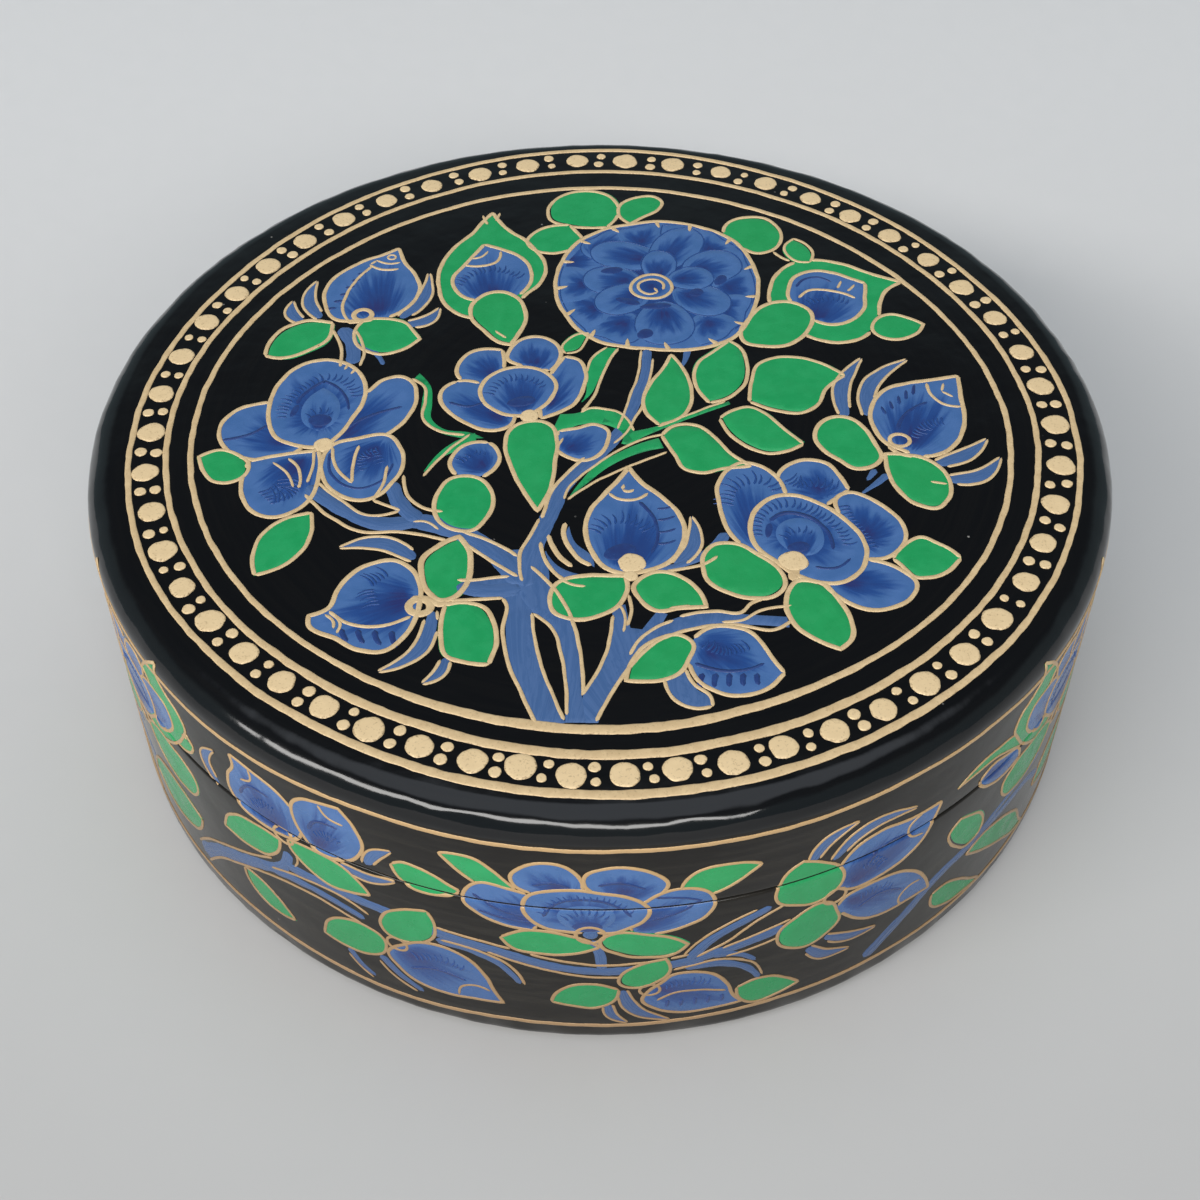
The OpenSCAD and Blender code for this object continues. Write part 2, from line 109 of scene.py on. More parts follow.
class Nodes:
    """The nodes of a material or of the room, each added through one method."""

    def __init__(self, tree):
        self.tree = tree

    def add(self, kind, settings=None, inputs=None, output=0):
        """A node of one kind, with its settings and inputs, as the value of one output."""
        node = self.tree.nodes.new(kind)
        for key, value in (settings or {}).items():
            setattr(node, key, value)
        for key, value in (inputs or {}).items():
            if isinstance(value, Value):
                self.tree.links.new(value.socket, node.inputs[key])
            else:
                node.inputs[key].default_value = value
        return Value(self, node.outputs[output])

    def place(self):
        """The point of the surface, in the object's own frame."""
        return self.add("ShaderNodeTexCoord", output="Object")

    def stored(self, name, output="Vector"):
        """A mark that the mesh carries at each point."""
        return self.add("ShaderNodeAttribute", {"attribute_name": name}, output=output)

    def parts(self, vector):
        """The three parts of a vector."""
        node = self.tree.nodes.new("ShaderNodeSeparateXYZ")
        self.tree.links.new(vector.socket, node.inputs[0])
        return [Value(self, out) for out in node.outputs]

    def vector(self, x, y, z):
        """A vector of three values."""
        return self.add("ShaderNodeCombineXYZ", {}, {0: x, 1: y, 2: z})

    def noise(self, vector, scale, detail=2, rough=0.5):
        """Cloudy noise around one half."""
        inputs = {"Vector": vector, "Scale": scale, "Detail": detail, "Roughness": rough}
        return self.add("ShaderNodeTexNoise", {}, inputs)

    def specks(self, vector, scale, size):
        """Small scattered dots: 1 in each, 0 between them."""
        found = self.add("ShaderNodeTexVoronoi", {}, {"Vector": vector, "Scale": scale})
        return self.ease(found, size, size * 0.4)

    def ease(self, value, low, high, to_low=0, to_high=1):
        """The value eased from one range to another."""
        inputs = {"Value": value, 1: low, 2: high, 3: to_low, 4: to_high}
        return self.add("ShaderNodeMapRange", {"interpolation_type": "SMOOTHSTEP"}, inputs)

    def mix(self, mask, below, above):
        """One colour where the mask is 0 and the other where it is 1."""
        return self.add("ShaderNodeMix", {"data_type": "RGBA"}, {0: mask, 6: below, 7: above}, output=2)

    def dulled(self, colour, low, share):
        """A paint's colour made browner and darker down the wall: painted shade for the wall's dimmer
        light.
        """
        height = self.parts(self.place())[2]
        return self.mix(self.ease(height, 0.034, 0.004, 0, share), colour, low)

    def bump(self, height, strength, distance):
        """A normal bent by a height."""
        inputs = {"Height": height, "Strength": strength, "Distance": distance}
        return self.add("ShaderNodeBump", {}, inputs)


class Finish(Nodes):
    """One procedural material: its principled shader, and the nodes that drive it."""

    def __init__(self, name, **constants):
        self.material = bpy.data.materials.new(name)
        self.material.use_nodes = True
        super().__init__(self.material.node_tree)
        self.tree.nodes.clear()
        self.shader = self.tree.nodes.new("ShaderNodeBsdfPrincipled")
        output = self.tree.nodes.new("ShaderNodeOutputMaterial")
        self.tree.links.new(self.shader.outputs["BSDF"], output.inputs["Surface"])
        for socket, value in constants.items():
            self.shader.inputs[socket.replace("_", " ")].default_value = value

    def drive(self, **values):
        """Links values into the shader's inputs, by the inputs' names."""
        for socket, value in values.items():
            self.tree.links.new(value.socket, self.shader.inputs[socket.replace("_", " ")])


def lacquer_finish(name, grain, roughness, wave, gloss=0.45, black=(0.0045, 0.005, 0.006, 1)):
    """Hand-laid black lacquer: drawn-out brush grain, uneven gloss, a little dust."""
    f = Finish(name, Specular_IOR_Level=gloss)
    place = f.place()
    x, y, z = f.parts(place)
    squares = x * x + y * y
    radius = squares.math("SQRT", squares)
    drift = f.noise(place, 60, 3)
    strokes = f.noise(f.vector(radius * 1400 + drift * 3, z * 900, drift * 4), 1, 3, 0.6)
    cloud = f.noise(place, 35, 3)
    tone = f.ease(strokes, 0.35, 0.75, 0, grain)
    black = f.mix(tone, black, (0.03, 0.026, 0.02, 1))
    dust = f.specks(place, 330, 0.06) * f.ease(f.noise(place, 180, 1), 0.58, 0.7)
    f.drive(
        Base_Color=f.mix(dust, black, (0.3, 0.29, 0.27, 1)),
        Roughness=f.ease(cloud, 0.3, 0.7, roughness, roughness * 1.7) + strokes * 0.03,
        Normal=f.bump(f.noise(place, 55, 2) + f.noise(place, 170, 2) * 0.3
                      + f.noise(place, 620, 2) * 0.055, wave, 0.001),
    )
    return f.material


def gold_finish():
    """Shell-gold paint: warm and pale, mottled, pitted, thin at its edges, with painted shade that makes it
    darker and browner on the wall and down it.
    """
    f = Finish("gold_paint", Metallic=0.12, Coat_Weight=0.2, Coat_Roughness=0.2)
    place = f.place()
    mottle = f.noise(place, 900, 4, 0.65)
    wide = f.noise(place, 130, 2)
    grain = f.noise(place, 3600, 2, 0.6)
    gold = f.mix(f.ease(mottle, 0.3, 0.72), (0.70, 0.50, 0.27, 1), (0.83, 0.615, 0.345, 1))
    gold = f.mix(f.ease(wide, 0.35, 0.75, 0, 0.3), gold, (0.66, 0.46, 0.235, 1))
    gold = f.mix(f.ease(f.stored("tone", "Fac"), 1.1, 1.9, 0, 0.7), gold, (0.94, 0.71, 0.41, 1))
    gold = f.mix(f.ease(grain, 0.54, 0.74, 0, 0.5), gold, (0.42, 0.28, 0.135, 1))
    height = f.parts(place)[2]
    # Painted shade: below the shoulder the gold turns darker and browner, more so towards the foot
    wall_shade_gold = f.mix(f.ease(height, 0.036, 0.006), (0.54, 0.33, 0.14, 1), (0.27, 0.145, 0.06, 1))
    gold = f.mix(f.ease(height, 0.0385, 0.0368, 0, 0.8), gold, wall_shade_gold)
    worn = f.ease(f.stored("edge", "Fac") + mottle * 0.5 + grain * 0.35, 1.3, 1.52)
    pits = f.specks(place, 520, 0.075) * f.ease(f.noise(place, 300, 1), 0.65, 0.71)
    f.drive(
        Base_Color=f.mix(pits.math("MAXIMUM", worn * 0.6, pits), gold, (0.16, 0.09, 0.035, 1)),
        Roughness=f.ease(mottle, 0.3, 0.7, 0.36, 0.5),
        Normal=f.bump(mottle, 0.1, 0.0002),
    )
    return f.material


def leaf_finish():
    """Flat emerald green, a little thin near the rim and streaked along each leaf."""
    f = Finish("green_paint", Specular_IOR_Level=0.4)
    place = f.place()
    turn, reach, rim = f.parts(f.stored("brush"))
    streak = f.noise(f.vector(turn * 1.1, reach * 1.6, f.stored("tone", "Fac") * 40), 1, 3, 0.6)
    patchy = f.noise(place, 420, 3, 0.6)
    green = f.mix(f.ease(patchy, 0.25, 0.75), (0.013, 0.315, 0.098, 1), (0.021, 0.365, 0.122, 1))
    green = f.mix(f.ease(streak, 0.5, 0.8, 0, 0.3), green, (0.032, 0.40, 0.145, 1))
    green = f.mix(f.stored("tone", "Fac") * 0.3, green, (0.030, 0.335, 0.082, 1))
    # Painted shade: the green goes darker down the wall
    green = f.dulled(green, (0.013, 0.16, 0.055, 1), 0.5)
    thin = f.ease(rim + patchy * 0.5, 0.22, 0.38, 0.5, 0)
    f.drive(
        Base_Color=f.mix(thin, green, (0.008, 0.10, 0.045, 1)),
        Roughness=f.ease(f.noise(place, 500, 3), 0.3, 0.7, 0.2, 0.34),
        Normal=f.bump(streak, 0.08, 0.0002),
    )
    return f.material


def petal_finish():
    """Light blue rims, feathered into deep blue by fine strokes, with an indigo hollow at the foot."""
    f = Finish("petal_blue_paint", Specular_IOR_Level=0.4)
    place = f.place()
    across, reach, _ = f.parts(f.stored("brush"))
    tone = f.stored("tone", "Fac") * 60
    teeth = f.noise(f.vector(across * 1.7, reach * 1.4, tone), 1, 2, 0.55)
    fine = f.noise(f.vector(across * 4.5, reach * 2.2, tone + 5), 1, 1)
    broad = f.noise(f.vector(across * 0.3, 3, tone + 9), 1, 1)
    edge = 0.66 + (teeth - 0.5) * 0.75 + (broad - 0.5) * 0.6
    wash = f.noise(place, 420, 3)
    light = f.mix(f.ease(wash, 0.3, 0.7), (0.058, 0.146, 0.36, 1), (0.075, 0.17, 0.405, 1))
    deep = f.ease(reach - edge, 0.12, -0.22)
    blue = f.mix(deep, light, (0.022, 0.078, 0.275, 1))
    shadow = f.ease(reach - edge, -0.1, -0.5)
    blue = f.mix(shadow * 0.8, blue, (0.018, 0.048, 0.19, 1))
    blue = f.mix(f.ease(fine, 0.5, 0.68, 0, 0.4) * deep, blue, (0.018, 0.05, 0.2, 1))
    hollow = f.ease(reach + (teeth - 0.5) * 0.5, 0.3, 0.06)
    # Painted shade: the blue goes darker down the wall
    blue = f.dulled(blue, (0.022, 0.05, 0.145, 1), 0.45)
    f.drive(
        Base_Color=f.mix(hollow * 0.8, blue, (0.026, 0.032, 0.14, 1)),
        Roughness=f.ease(f.noise(place, 500, 3), 0.3, 0.7, 0.2, 0.32),
        Normal=f.bump(teeth, 0.1, 0.0002),
    )
    return f.material


def stem_finish():
    """Thinner, greyer blue of the branches, in long strokes."""
    f = Finish("stem_blue_paint", Specular_IOR_Level=0.4)
    place = f.place()
    turn, reach, _ = f.parts(f.stored("brush"))
    streak = f.noise(f.vector(turn * 0.35, reach * 4, f.stored("tone", "Fac") * 50), 1, 3, 0.6)
    blue = f.mix(f.ease(streak, 0.28, 0.72), (0.057, 0.128, 0.30, 1), (0.078, 0.155, 0.345, 1))
    # Painted shade: the stems go darker down the wall
    blue = f.dulled(blue, (0.035, 0.06, 0.14, 1), 0.6)
    cloud = f.ease(f.noise(place, 260, 3), 0.55, 0.75, 0, 0.3)
    f.drive(
        Base_Color=f.mix(cloud, blue, (0.042, 0.092, 0.225, 1)),
        Roughness=f.ease(streak, 0.3, 0.7, 0.22, 0.34),
        Normal=f.bump(streak, 0.12, 0.0002),
    )
    return f.material


def ink_finish():
    """Indigo of the drawn petal lines, and the bluer feather strokes."""
    f = Finish("indigo_paint", Specular_IOR_Level=0.4)
    place = f.place()
    wash = f.noise(place, 600, 3, 0.6)
    indigo = f.mix(f.ease(wash, 0.3, 0.7), (0.024, 0.046, 0.17, 1), (0.022, 0.06, 0.215, 1))
    f.drive(
        Base_Color=f.mix(f.stored("edge", "Fac"), indigo, (0.021, 0.07, 0.25, 1)),
        Roughness=f.ease(wash, 0.3, 0.7, 0.2, 0.32),
    )
    return f.material


LACQUER = lacquer_finish("black_lacquer", 0.06, 0.07, 0.24)
WALL_LACQUER = lacquer_finish("black_wall_lacquer", 0.6, 0.09, 0.26, 0.25, (0.0075, 0.0062, 0.005, 1))
INSIDE_LACQUER = lacquer_finish("black_inside_lacquer", 0.6, 0.24, 0.3)
PAINTS = {
    "leaves": (leaf_finish(), "green_paint"),
    "petals": (petal_finish(), "petal_blue_paint"),
    "stems": (stem_finish(), "stem_blue_paint"),
    "ink": (ink_finish(), "petal_blue_paint"),
    "gold": (gold_finish(), "gold_paint"),
}


def new_piece(name, body, slot, verts, faces, finishes, marks=None, face_finish=None):
    """A smooth-shaded mesh in the row frame, from millimetres, riding on its body."""
    mesh = bpy.data.meshes.new(name)
    mesh.from_pydata([(x * MM, y * MM, z * MM) for x, y, z in verts], [], faces)
    for finish in finishes:
        mesh.materials.append(finish)
    if face_finish:
        mesh.polygons.foreach_set("material_index", face_finish)
    mesh.polygons.foreach_set("use_smooth", [True] * len(mesh.polygons))
    for key, values in (marks or {}).items():
        kind = "FLOAT_VECTOR" if key == "brush" else "FLOAT"
        layer = mesh.attributes.new(key, kind, "POINT")
        layer.data.foreach_set("vector" if key == "brush" else "value", np.ravel(values))
    mesh.update()
    piece = bpy.data.objects.new(name, mesh)
    bpy.context.scene.collection.objects.link(piece)
    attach(piece, body)
    return piece


def arc(cx, cz, r, start, end, steps):
    """Points of a profile's rounded corner, in degrees."""
    turns = [math.radians(start + (end - start) * i / steps) for i in range(steps + 1)]
    return [(cx + r * math.cos(a), cz + r * math.sin(a)) for a in turns]


def spread(points, gap):
    """The same profile with no straight run longer than gap."""
    out = [points[0]]
    for (r0, z0), (r1, z1) in zip(points, points[1:]):
        n = max(1, math.ceil(math.hypot(r1 - r0, z1 - z0) / gap))
        out += [(r0 + (r1 - r0) * i / n, z0 + (z1 - z0) * i / n) for i in range(1, n + 1)]
    return out


def turned(name, body, profile, finishes, choose, uneven, steps=288):
    """A profile turned round the axis, from one end on the axis or closed on itself."""
    closed = profile[0][0] > 0.01
    verts, faces, picks, rows = [], [], [], []
    for i, (r, z) in enumerate(profile):
        if r < 0.01:
            rows.append([len(verts)] * steps)
            verts.append((0, 0, z))
            continue
        rows.append(range(len(verts), len(verts) + steps))
        for k in range(steps):
            a = 2 * math.pi * k / steps
            dr, dz = uneven(r, z, a)
            verts.append(((r + dr) * math.cos(a), (r + dr) * math.sin(a), z + dz))
    for i in range(len(rows) if closed else len(rows) - 1):
        below, above = rows[i], rows[(i + 1) % len(rows)]
        pick = choose(*profile[i], *profile[(i + 1) % len(rows)])
        for k in range(steps):
            j = (k + 1) % steps
            corners = [below[k], below[j], above[j], above[k]]
            faces.append([c for n, c in enumerate(corners) if c not in corners[:n]])
            picks.append(pick)
    return new_piece(name, body, "black_lacquer", verts, faces, finishes, face_finish=picks)


def wobble(x, y, z, scale, size):
    """A smooth, seeded unevenness at a point."""
    return size * noise.noise(Vector((x * scale, y * scale, z * scale)))


def lid_uneven(r, z, a):
    """The shoulder and the lower lip are rubbed down by hand, so neither is quite even."""
    x, y = r * math.cos(a), r * math.sin(a)
    if r > BOX_R - SHOULDER_R and z > BOX_H - SHOULDER_R:
        bend = math.sin(2 * math.atan2(z - BOX_H + SHOULDER_R, r - BOX_R + SHOULDER_R))
        pull = -abs(wobble(x, y, z, 0.22, 0.2) + wobble(x, y, z, 0.7, 0.05)) * bend
        return pull * 0.7, pull * 0.7
    if r > LID_IN:
        fade = min(1, max(0, SEAM_H + SEAM_GAP + LIP_R - z) / LIP_R)
        return 0, abs(wobble(x, y, 3, 0.25, 0.16)) * fade
    return 0, 0


def base_uneven(r, z, a):
    """The base's rubbed upper lip and its worn foot."""
    x, y = r * math.cos(a), r * math.sin(a)
    if z > SEAM_H - 1 and r > WALL_IN:
        fade = min(1, max(0, z - SEAM_H + SEAM_GAP + LIP_R) / LIP_R)
        return 0, -abs(wobble(x, y, 7, 0.25, 0.14)) * fade
    if z < 1.9 and r > BOX_R - FOOT_R:
        return -abs(wobble(x, y, z, 0.3, 0.15)), 0
    return 0, 0


def collar_uneven(r, z, a):
    """The collar's hand-cut upper edge and its slightly uneven inner face."""
    x, y = r * math.cos(a), r * math.sin(a)
    if z > COLLAR_TOP - 0.6:
        return 0, -abs(wobble(x, y, 5, 0.2, 0.3))
    return (wobble(x, y, z, 0.15, 0.12) - 0.06 if r < 55 else 0), 0


def make_shells():
    """The lid, the base and the collar glued inside it."""
    low, high = SEAM_H - SEAM_GAP, SEAM_H + SEAM_GAP
    lid = (
        [(0, TOP_UNDER)]
        + arc(LID_IN - 1.2, TOP_UNDER - 1.2, 1.2, 90, 0, 8)
        + arc(LID_IN + 0.3, high + 0.3, 0.3, 180, 270, 5)
        + arc(BOX_R - LIP_R, high + LIP_R, LIP_R, -90, 0, 9)
        + arc(BOX_R - SHOULDER_R, BOX_H - SHOULDER_R, SHOULDER_R, 0, 90, 22)
        + [(0, BOX_H)]
    )
    base = (
        [(0, FLOOR_TOP), (COLLAR_IN - 0.2, FLOOR_TOP)]
        + [(COLLAR_OUT + 0.02, FLOOR_TOP), (WALL_IN, FLOOR_TOP + 0.2)]
        + [(WALL_IN, low - 0.2), (WALL_IN + 0.2, low)]
        + arc(BOX_R - LIP_R, low - LIP_R, LIP_R, 90, 0, 9)
        + arc(BOX_R - FOOT_R, FOOT_R, FOOT_R, 0, -90, 14)
        + [(BOX_R - 6, 0), (0, 0)]
    )
    collar = (
        [(COLLAR_IN, FLOOR_TOP + 0.01), (COLLAR_IN, 8)]
        + arc(COLLAR_IN + 0.5, COLLAR_TOP - 0.5, 0.5, 180, 90, 6)
        + arc(COLLAR_OUT - 0.7, COLLAR_TOP - 0.7, 0.7, 90, 0, 7)
        + [(COLLAR_OUT, FLOOR_TOP + 0.01)]
    )

    def lid_side(r0, z0, r1, z1):
        if min(z0, z1) > BOX_H - SHOULDER_R - 0.01:
            return 0
        return 1 if min(r0, r1) > LID_IN + 0.5 else 2

    def base_side(r0, z0, r1, z1):
        return 1 if min(r0, r1) > WALL_IN + 0.3 else 2

    finishes = [LACQUER, WALL_LACQUER, INSIDE_LACQUER]
    lid_shell = turned("lid_shell", "lid", spread(lid, 3), finishes, lid_side, lid_uneven)
    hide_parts("lid_wall", "lid_top")
    base_shell = turned("base_shell", "base", spread(base, 3), finishes, base_side, base_uneven)
    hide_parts("base_floor", "base_wall")
    hoop = turned("collar_hoop", "base", spread(collar, 2.5), [INSIDE_LACQUER], lambda *_: 0, collar_uneven)
    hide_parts("base_collar")


def smooth(flat, closed=False, step=0.32):
    """A drawn curve through x, y, x, y ... as runs of points, with a break at each sharp corner."""
    pts = [Vector(p) for p in zip(flat[::2], flat[1::2])]
    n = len(pts)

    def sharp(i):
        if not closed and i in (0, n - 1):
            return True
        a, b = pts[i] - pts[i - 1], pts[(i + 1) % n] - pts[i]
        return a.length < 1e-6 or b.length < 1e-6 or a.angle(b) > CORNER

    def heading(i):
        a, b = pts[i] - pts[i - 1], pts[(i + 1) % n] - pts[i]
        return (a.normalized() * b.length + b.normalized() * a.length).normalized()

    runs, run = [], []
    first = next((i for i in range(n) if sharp(i)), 0)
    for k in range(n if closed else n - 1):
        i = (first + k) % n
        j = (i + 1) % n
        chord = pts[j] - pts[i]
        far = None if sharp(j) else heading(j) * chord.length
        near = None if sharp(i) else heading(i) * chord.length
        if near is None:
            near = chord if far is None else chord * 1.5 - far * 0.5
        if far is None:
            far = chord * 1.5 - near * 0.5
        steps = max(2, math.ceil(chord.length / step))
        for s in range(steps):
            t = s / steps
            run.append(
                pts[i] * (2 * t**3 - 3 * t**2 + 1) + near * (t**3 - 2 * t**2 + t)
                + pts[j] * (3 * t**2 - 2 * t**3) + far * (t**3 - t**2)
            )
        if sharp(j):
            runs.append(run + [pts[j]])
            run = []
    if run:
        runs.append(run + [run[0]] if closed else run + [pts[-1]])
    return runs


def inside(points, outline):
    """Which points lie inside a closed outline."""
    p, a = np.asarray(points, float), np.asarray(outline, float)
    b = np.roll(a, -1, axis=0)
    hit = np.zeros(len(p), bool)
    for (x0, y0), (x1, y1) in zip(a, b):
        if y0 != y1:
            across = (p[:, 1] > y0) != (p[:, 1] > y1)
            hit ^= across & (p[:, 0] < (x1 - x0) * (p[:, 1] - y0) / (y1 - y0) + x0)
    return hit


def rim_distance(points, outline):
    """How far each point is from a closed outline."""
    p, a = np.asarray(points, float)[:, None], np.asarray(outline, float)[None]
    side = np.roll(a, -1, axis=1) - a
    t = np.clip(((p - a) * side).sum(2) / np.maximum((side**2).sum(2), 1e-12), 0, 1)
    return np.sqrt(((p - a - side * t[..., None]) ** 2).sum(2)).min(1)


class Painting:
    """Shapes painted on one surface, in the order in which they were laid down."""

    def __init__(self, name, seed, brush=0.7, lift=0):
        self.name, self.work, self.brush, self.lift = name, [], brush, lift
        self.chance = random.Random(seed)

    def fill(self, kind, flat, foot, shift):
        """Colour inside a closed outline, laid a little off the gold line that will go round it."""
        runs = smooth(flat, True, 0.45)
        outline = [p for run in runs for p in run[:-1]]
        middle = sum(outline, Vector((0, 0))) / len(outline)
        move = Vector((self.chance.uniform(-1, 1), self.chance.uniform(-1, 1))) * shift
        outline = [p + move for p in outline]
        start = Vector(foot) if foot else middle
        while not inside([start], outline)[0] and (middle - start).length > 0.1:
            start += (middle - start) * 0.1
        source = start - (middle - start) * 0.9 if foot else middle - Vector((0, 20))
        self.work.append(("fill", kind, outline, (start, source)))

    def line(self, *flat, w=0.75, closed=False, kind="gold"):
        """A drawn line, broken at its corners, each run set down a little aside."""
        for run in smooth(flat, closed):
            if kind == "gold" and self.chance.random() < 0.9:
                lean = Vector((self.chance.uniform(-1, 1), self.chance.uniform(-1, 1))) * 0.06
                run = [p + lean for p in run]
            self.work.append(("line", kind, run, (w * self.brush, w * self.brush)))

    def leaf(self, *flat, w=0.72, shift=0.32):
        """A green leaf with its gold outline, from its foot."""
        self.fill("leaves", flat, flat[:2], shift)
        self.line(*flat, w=w, closed=True)

    def petal(self, *flat, foot=None, w=0.8, shift=0.15):
        """A blue petal with its gold outline."""
        self.fill("petals", flat, foot, shift)
        self.line(*flat, w=w, closed=True)

    def patch(self, kind, *flat, foot=None, shift=0.05):
        """Colour without an outline."""
        self.fill(kind, flat, foot, shift)

    def stem(self, *flat, w=(1.8, 1.6), kind="stems"):
        """One stroke of the brush, from its first width to its last."""
        self.work.append(("line", kind, [p for run in smooth(flat) for p in run], w))

    def ink(self, *flat, w=0.34):
        """A thin indigo stroke."""
        self.stem(*flat, w=(w, w * 0.7), kind="ink")

    def comb(self, *flat, reach=2.4, lean=0, w=0.3, gap=0.58):
        """Short feather strokes in indigo, from a curve to its left."""
        run = [p for part in smooth(flat, step=0.1) for p in part]
        count = max(4, round(sum((b - a).length for a, b in zip(run, run[1:])) / gap))
        for k in range(count):
            i = int((k + 0.5) * (len(run) - 3) / count)
            way = (run[i + 2] - run[i]).normalized()
            side = Vector((-way.y, way.x))
            long = reach * self.chance.uniform(0.65, 1.1)
            tip = run[i] + side * long + way * long * lean
            bend = (run[i] + tip) / 2 + way * long * 0.12
            stroke = smooth([*run[i], *bend, *tip], step=0.3)[0]
            self.work.append(("line", "feather", stroke, (w * 1.35, 0.1)))

    def knob(self, x, y, r, w=None):
        """A round touch of gold: a ring where w gives its line, else a drop."""
        turns = [k * math.pi / 6 for k in range(12)]
        flat = [c for a in turns for c in (x + r * math.cos(a), y + r * math.sin(a) * 0.95)]
        if w:
            self.line(*flat, w=w, closed=True)
        else:
            self.work.append(("drop", "gold", Vector((x, y)), r))

    def visible(self):
        """The work with every line cut where a later fill covers it."""
        outlines = [(i, w[2]) for i, w in enumerate(self.work) if w[0] == "fill"]
        for i, (form, kind, run, extra) in enumerate(self.work):
            if form != "line":
                yield i, form, kind, run, extra
                continue
            shown = np.ones(len(run), bool)
            for j, outline in outlines:
                if j > i and kind in ("gold", "ink", "feather"):
                    shown &= ~inside(run, outline)
            at = 0
            while at < len(run):
                end = at
                while end < len(run) and shown[end]:
                    end += 1
                if end - at >= 3:
                    yield i, form, kind, run[at:end], extra[at:end] if len(extra) == len(run) else extra
                at = max(end, at) + 1

    def levels(self):
        """How many coats lie under each stroke, so that each dries on top of the last."""
        levels, boxes = [], []
        for form, kind, shape, extra in self.work:
            if form == "drop":
                low, high = shape - Vector((extra, extra)), shape + Vector((extra, extra))
            else:
                wide = Vector((1, 1)) * (max(extra) / 2 if form == "line" else 0)
                low = Vector((min(p.x for p in shape), min(p.y for p in shape))) - wide
                high = Vector((max(p.x for p in shape), max(p.y for p in shape))) + wide
            under = [
                n for n, (a, b) in zip(levels, boxes)
                if n >= 0 and a.x < high.x and b.x > low.x and a.y < high.y and b.y > low.y
            ]
            flat = kind not in ("gold", "feather")
            levels.append(max(under, default=-1) + 1 if flat else -1)
            boxes.append((low, high))
        return levels

    def laid(self, part=lambda middle: ""):
        """Flat geometry by part and kind: x, y, height, faces and the marks that the finishes read."""
        made = {}
        levels = self.levels()
        coat = min(COAT, (ALL_COATS - self.lift * 0.6) / max(max(levels), 1))
        for i, form, kind, shape, extra in self.visible():
            tone = random.Random(i * 7 + 3).random()
            base = FILM + self.lift + max(levels[i], 0) * coat
            if kind in ("ink", "feather") and form == "line":
                base = INK_TOP + self.lift * 0.3 + 0.0006 * (i % 25)
            if form == "fill":
                verts, faces, brush = filled(shape, *extra, base)
                if kind == "stems":
                    brush = [(share * 8, across * 0.5, gap) for across, share, gap in brush]
            elif form == "drop":
                verts, faces, brush = drop(shape, extra, tone)
            else:
                verts, faces, brush = ribbon(shape, extra, kind, base, tone)
            if not faces:
                continue
            middle = shape if form == "drop" else sum(shape, Vector((0, 0))) / len(shape)
            key = (part(middle), "ink" if kind == "feather" else kind)
            store = made.setdefault(key, ([], [], [], [], []))
            at = len(store[0])
            store[0].extend(verts)
            store[1].extend([[c + at for c in face] for face in faces])
            store[2].extend(brush)
            store[3].extend([2 if form == "drop" else tone] * len(verts))
            store[4].extend([b[1] if kind == "gold" else float(kind == "feather") for b in brush])
        return made


def film_spots(ring):
    """Points inside an outline: a row just within the rim, then an even spread."""
    low, high = ring.min(0), ring.max(0)
    pitch = 0.8 if (high - low).max() > 4 else 0.5
    xs, ys = np.meshgrid(np.arange(low[0], high[0], pitch), np.arange(low[1], high[1], pitch))
    grid = np.c_[xs.ravel() + (np.arange(xs.size) // xs.shape[1] % 2) * pitch / 2, ys.ravel()]
    ahead = np.roll(ring, -1, axis=0) - np.roll(ring, 1, axis=0)
    ahead /= np.maximum(np.linalg.norm(ahead, axis=1, keepdims=True), 1e-9)
    turn = 1 if np.cross(ring, np.roll(ring, -1, axis=0)).sum() > 0 else -1
    inset = ring + np.c_[-ahead[:, 1], ahead[:, 0]] * turn * 0.13
    grid = grid[inside(grid, ring) & (rim_distance(grid, ring) > pitch * 0.55)]
    inset = inset[inside(inset, ring)]
    if len(inset):
        inset = inset[rim_distance(inset, ring) > 0.08]
    return inset, grid


def film_marks(flat, ring, rim, foot, source):
    """For each point: how far aside of the source's aim, its share of the way to the rim, the gap left."""
    away, spokes = flat - foot, ring - foot
    turns, reach = np.arctan2(away[:, 1], away[:, 0]), np.hypot(away[:, 0], away[:, 1])
    angle, length = np.arctan2(spokes[:, 1], spokes[:, 0]), np.hypot(spokes[:, 0], spokes[:, 1])
    order = np.argsort(angle)
    whole = np.interp(turns, angle[order], length[order], period=2 * math.pi)
    share = np.clip(reach / np.maximum(whole, 1e-6), 0, 1)
    gap = np.minimum(np.maximum(whole - reach, 0), rim * 1.6 + 0.05)
    aim, drawn = ring.mean(0) - source, flat - source
    aside = np.arctan2(aim[0] * drawn[:, 1] - aim[1] * drawn[:, 0], drawn @ aim)
    return [tuple(mark) for mark in np.c_[aside * np.hypot(*aim), share, gap]]


def filled(outline, foot, source, height):
    """A film of paint inside an outline, rounded off at its rim, its strokes drawn away from a source."""
    ring = np.array([tuple(p) for p in outline])
    spots = [Vector(p) for p in np.vstack([ring, *film_spots(ring)])]
    verts, _, faces, *_ = geometry.delaunay_2d_cdt(spots, [], [list(range(len(ring)))], 1, 1e-4)
    flat = np.array([tuple(v) for v in verts])
    rim = rim_distance(flat, ring)
    heights = -SINK + (height + SINK) * np.clip(rim / 0.12, 0, 1)
    faces = [list(f)[::-1] if facing(flat, f) < 0 else list(f) for f in faces]
    brush = film_marks(flat, ring, rim, np.array(tuple(foot)), np.array(tuple(source)))
    return [(x, y, h) for (x, y), h in zip(flat, heights)], faces, brush


def facing(flat, face):
    """Above zero where a flat face runs anticlockwise."""
    a, b, c = flat[face[0]], flat[face[1]], flat[face[2]]
    return (b[0] - a[0]) * (c[1] - a[1]) - (b[1] - a[1]) * (c[0] - a[0])


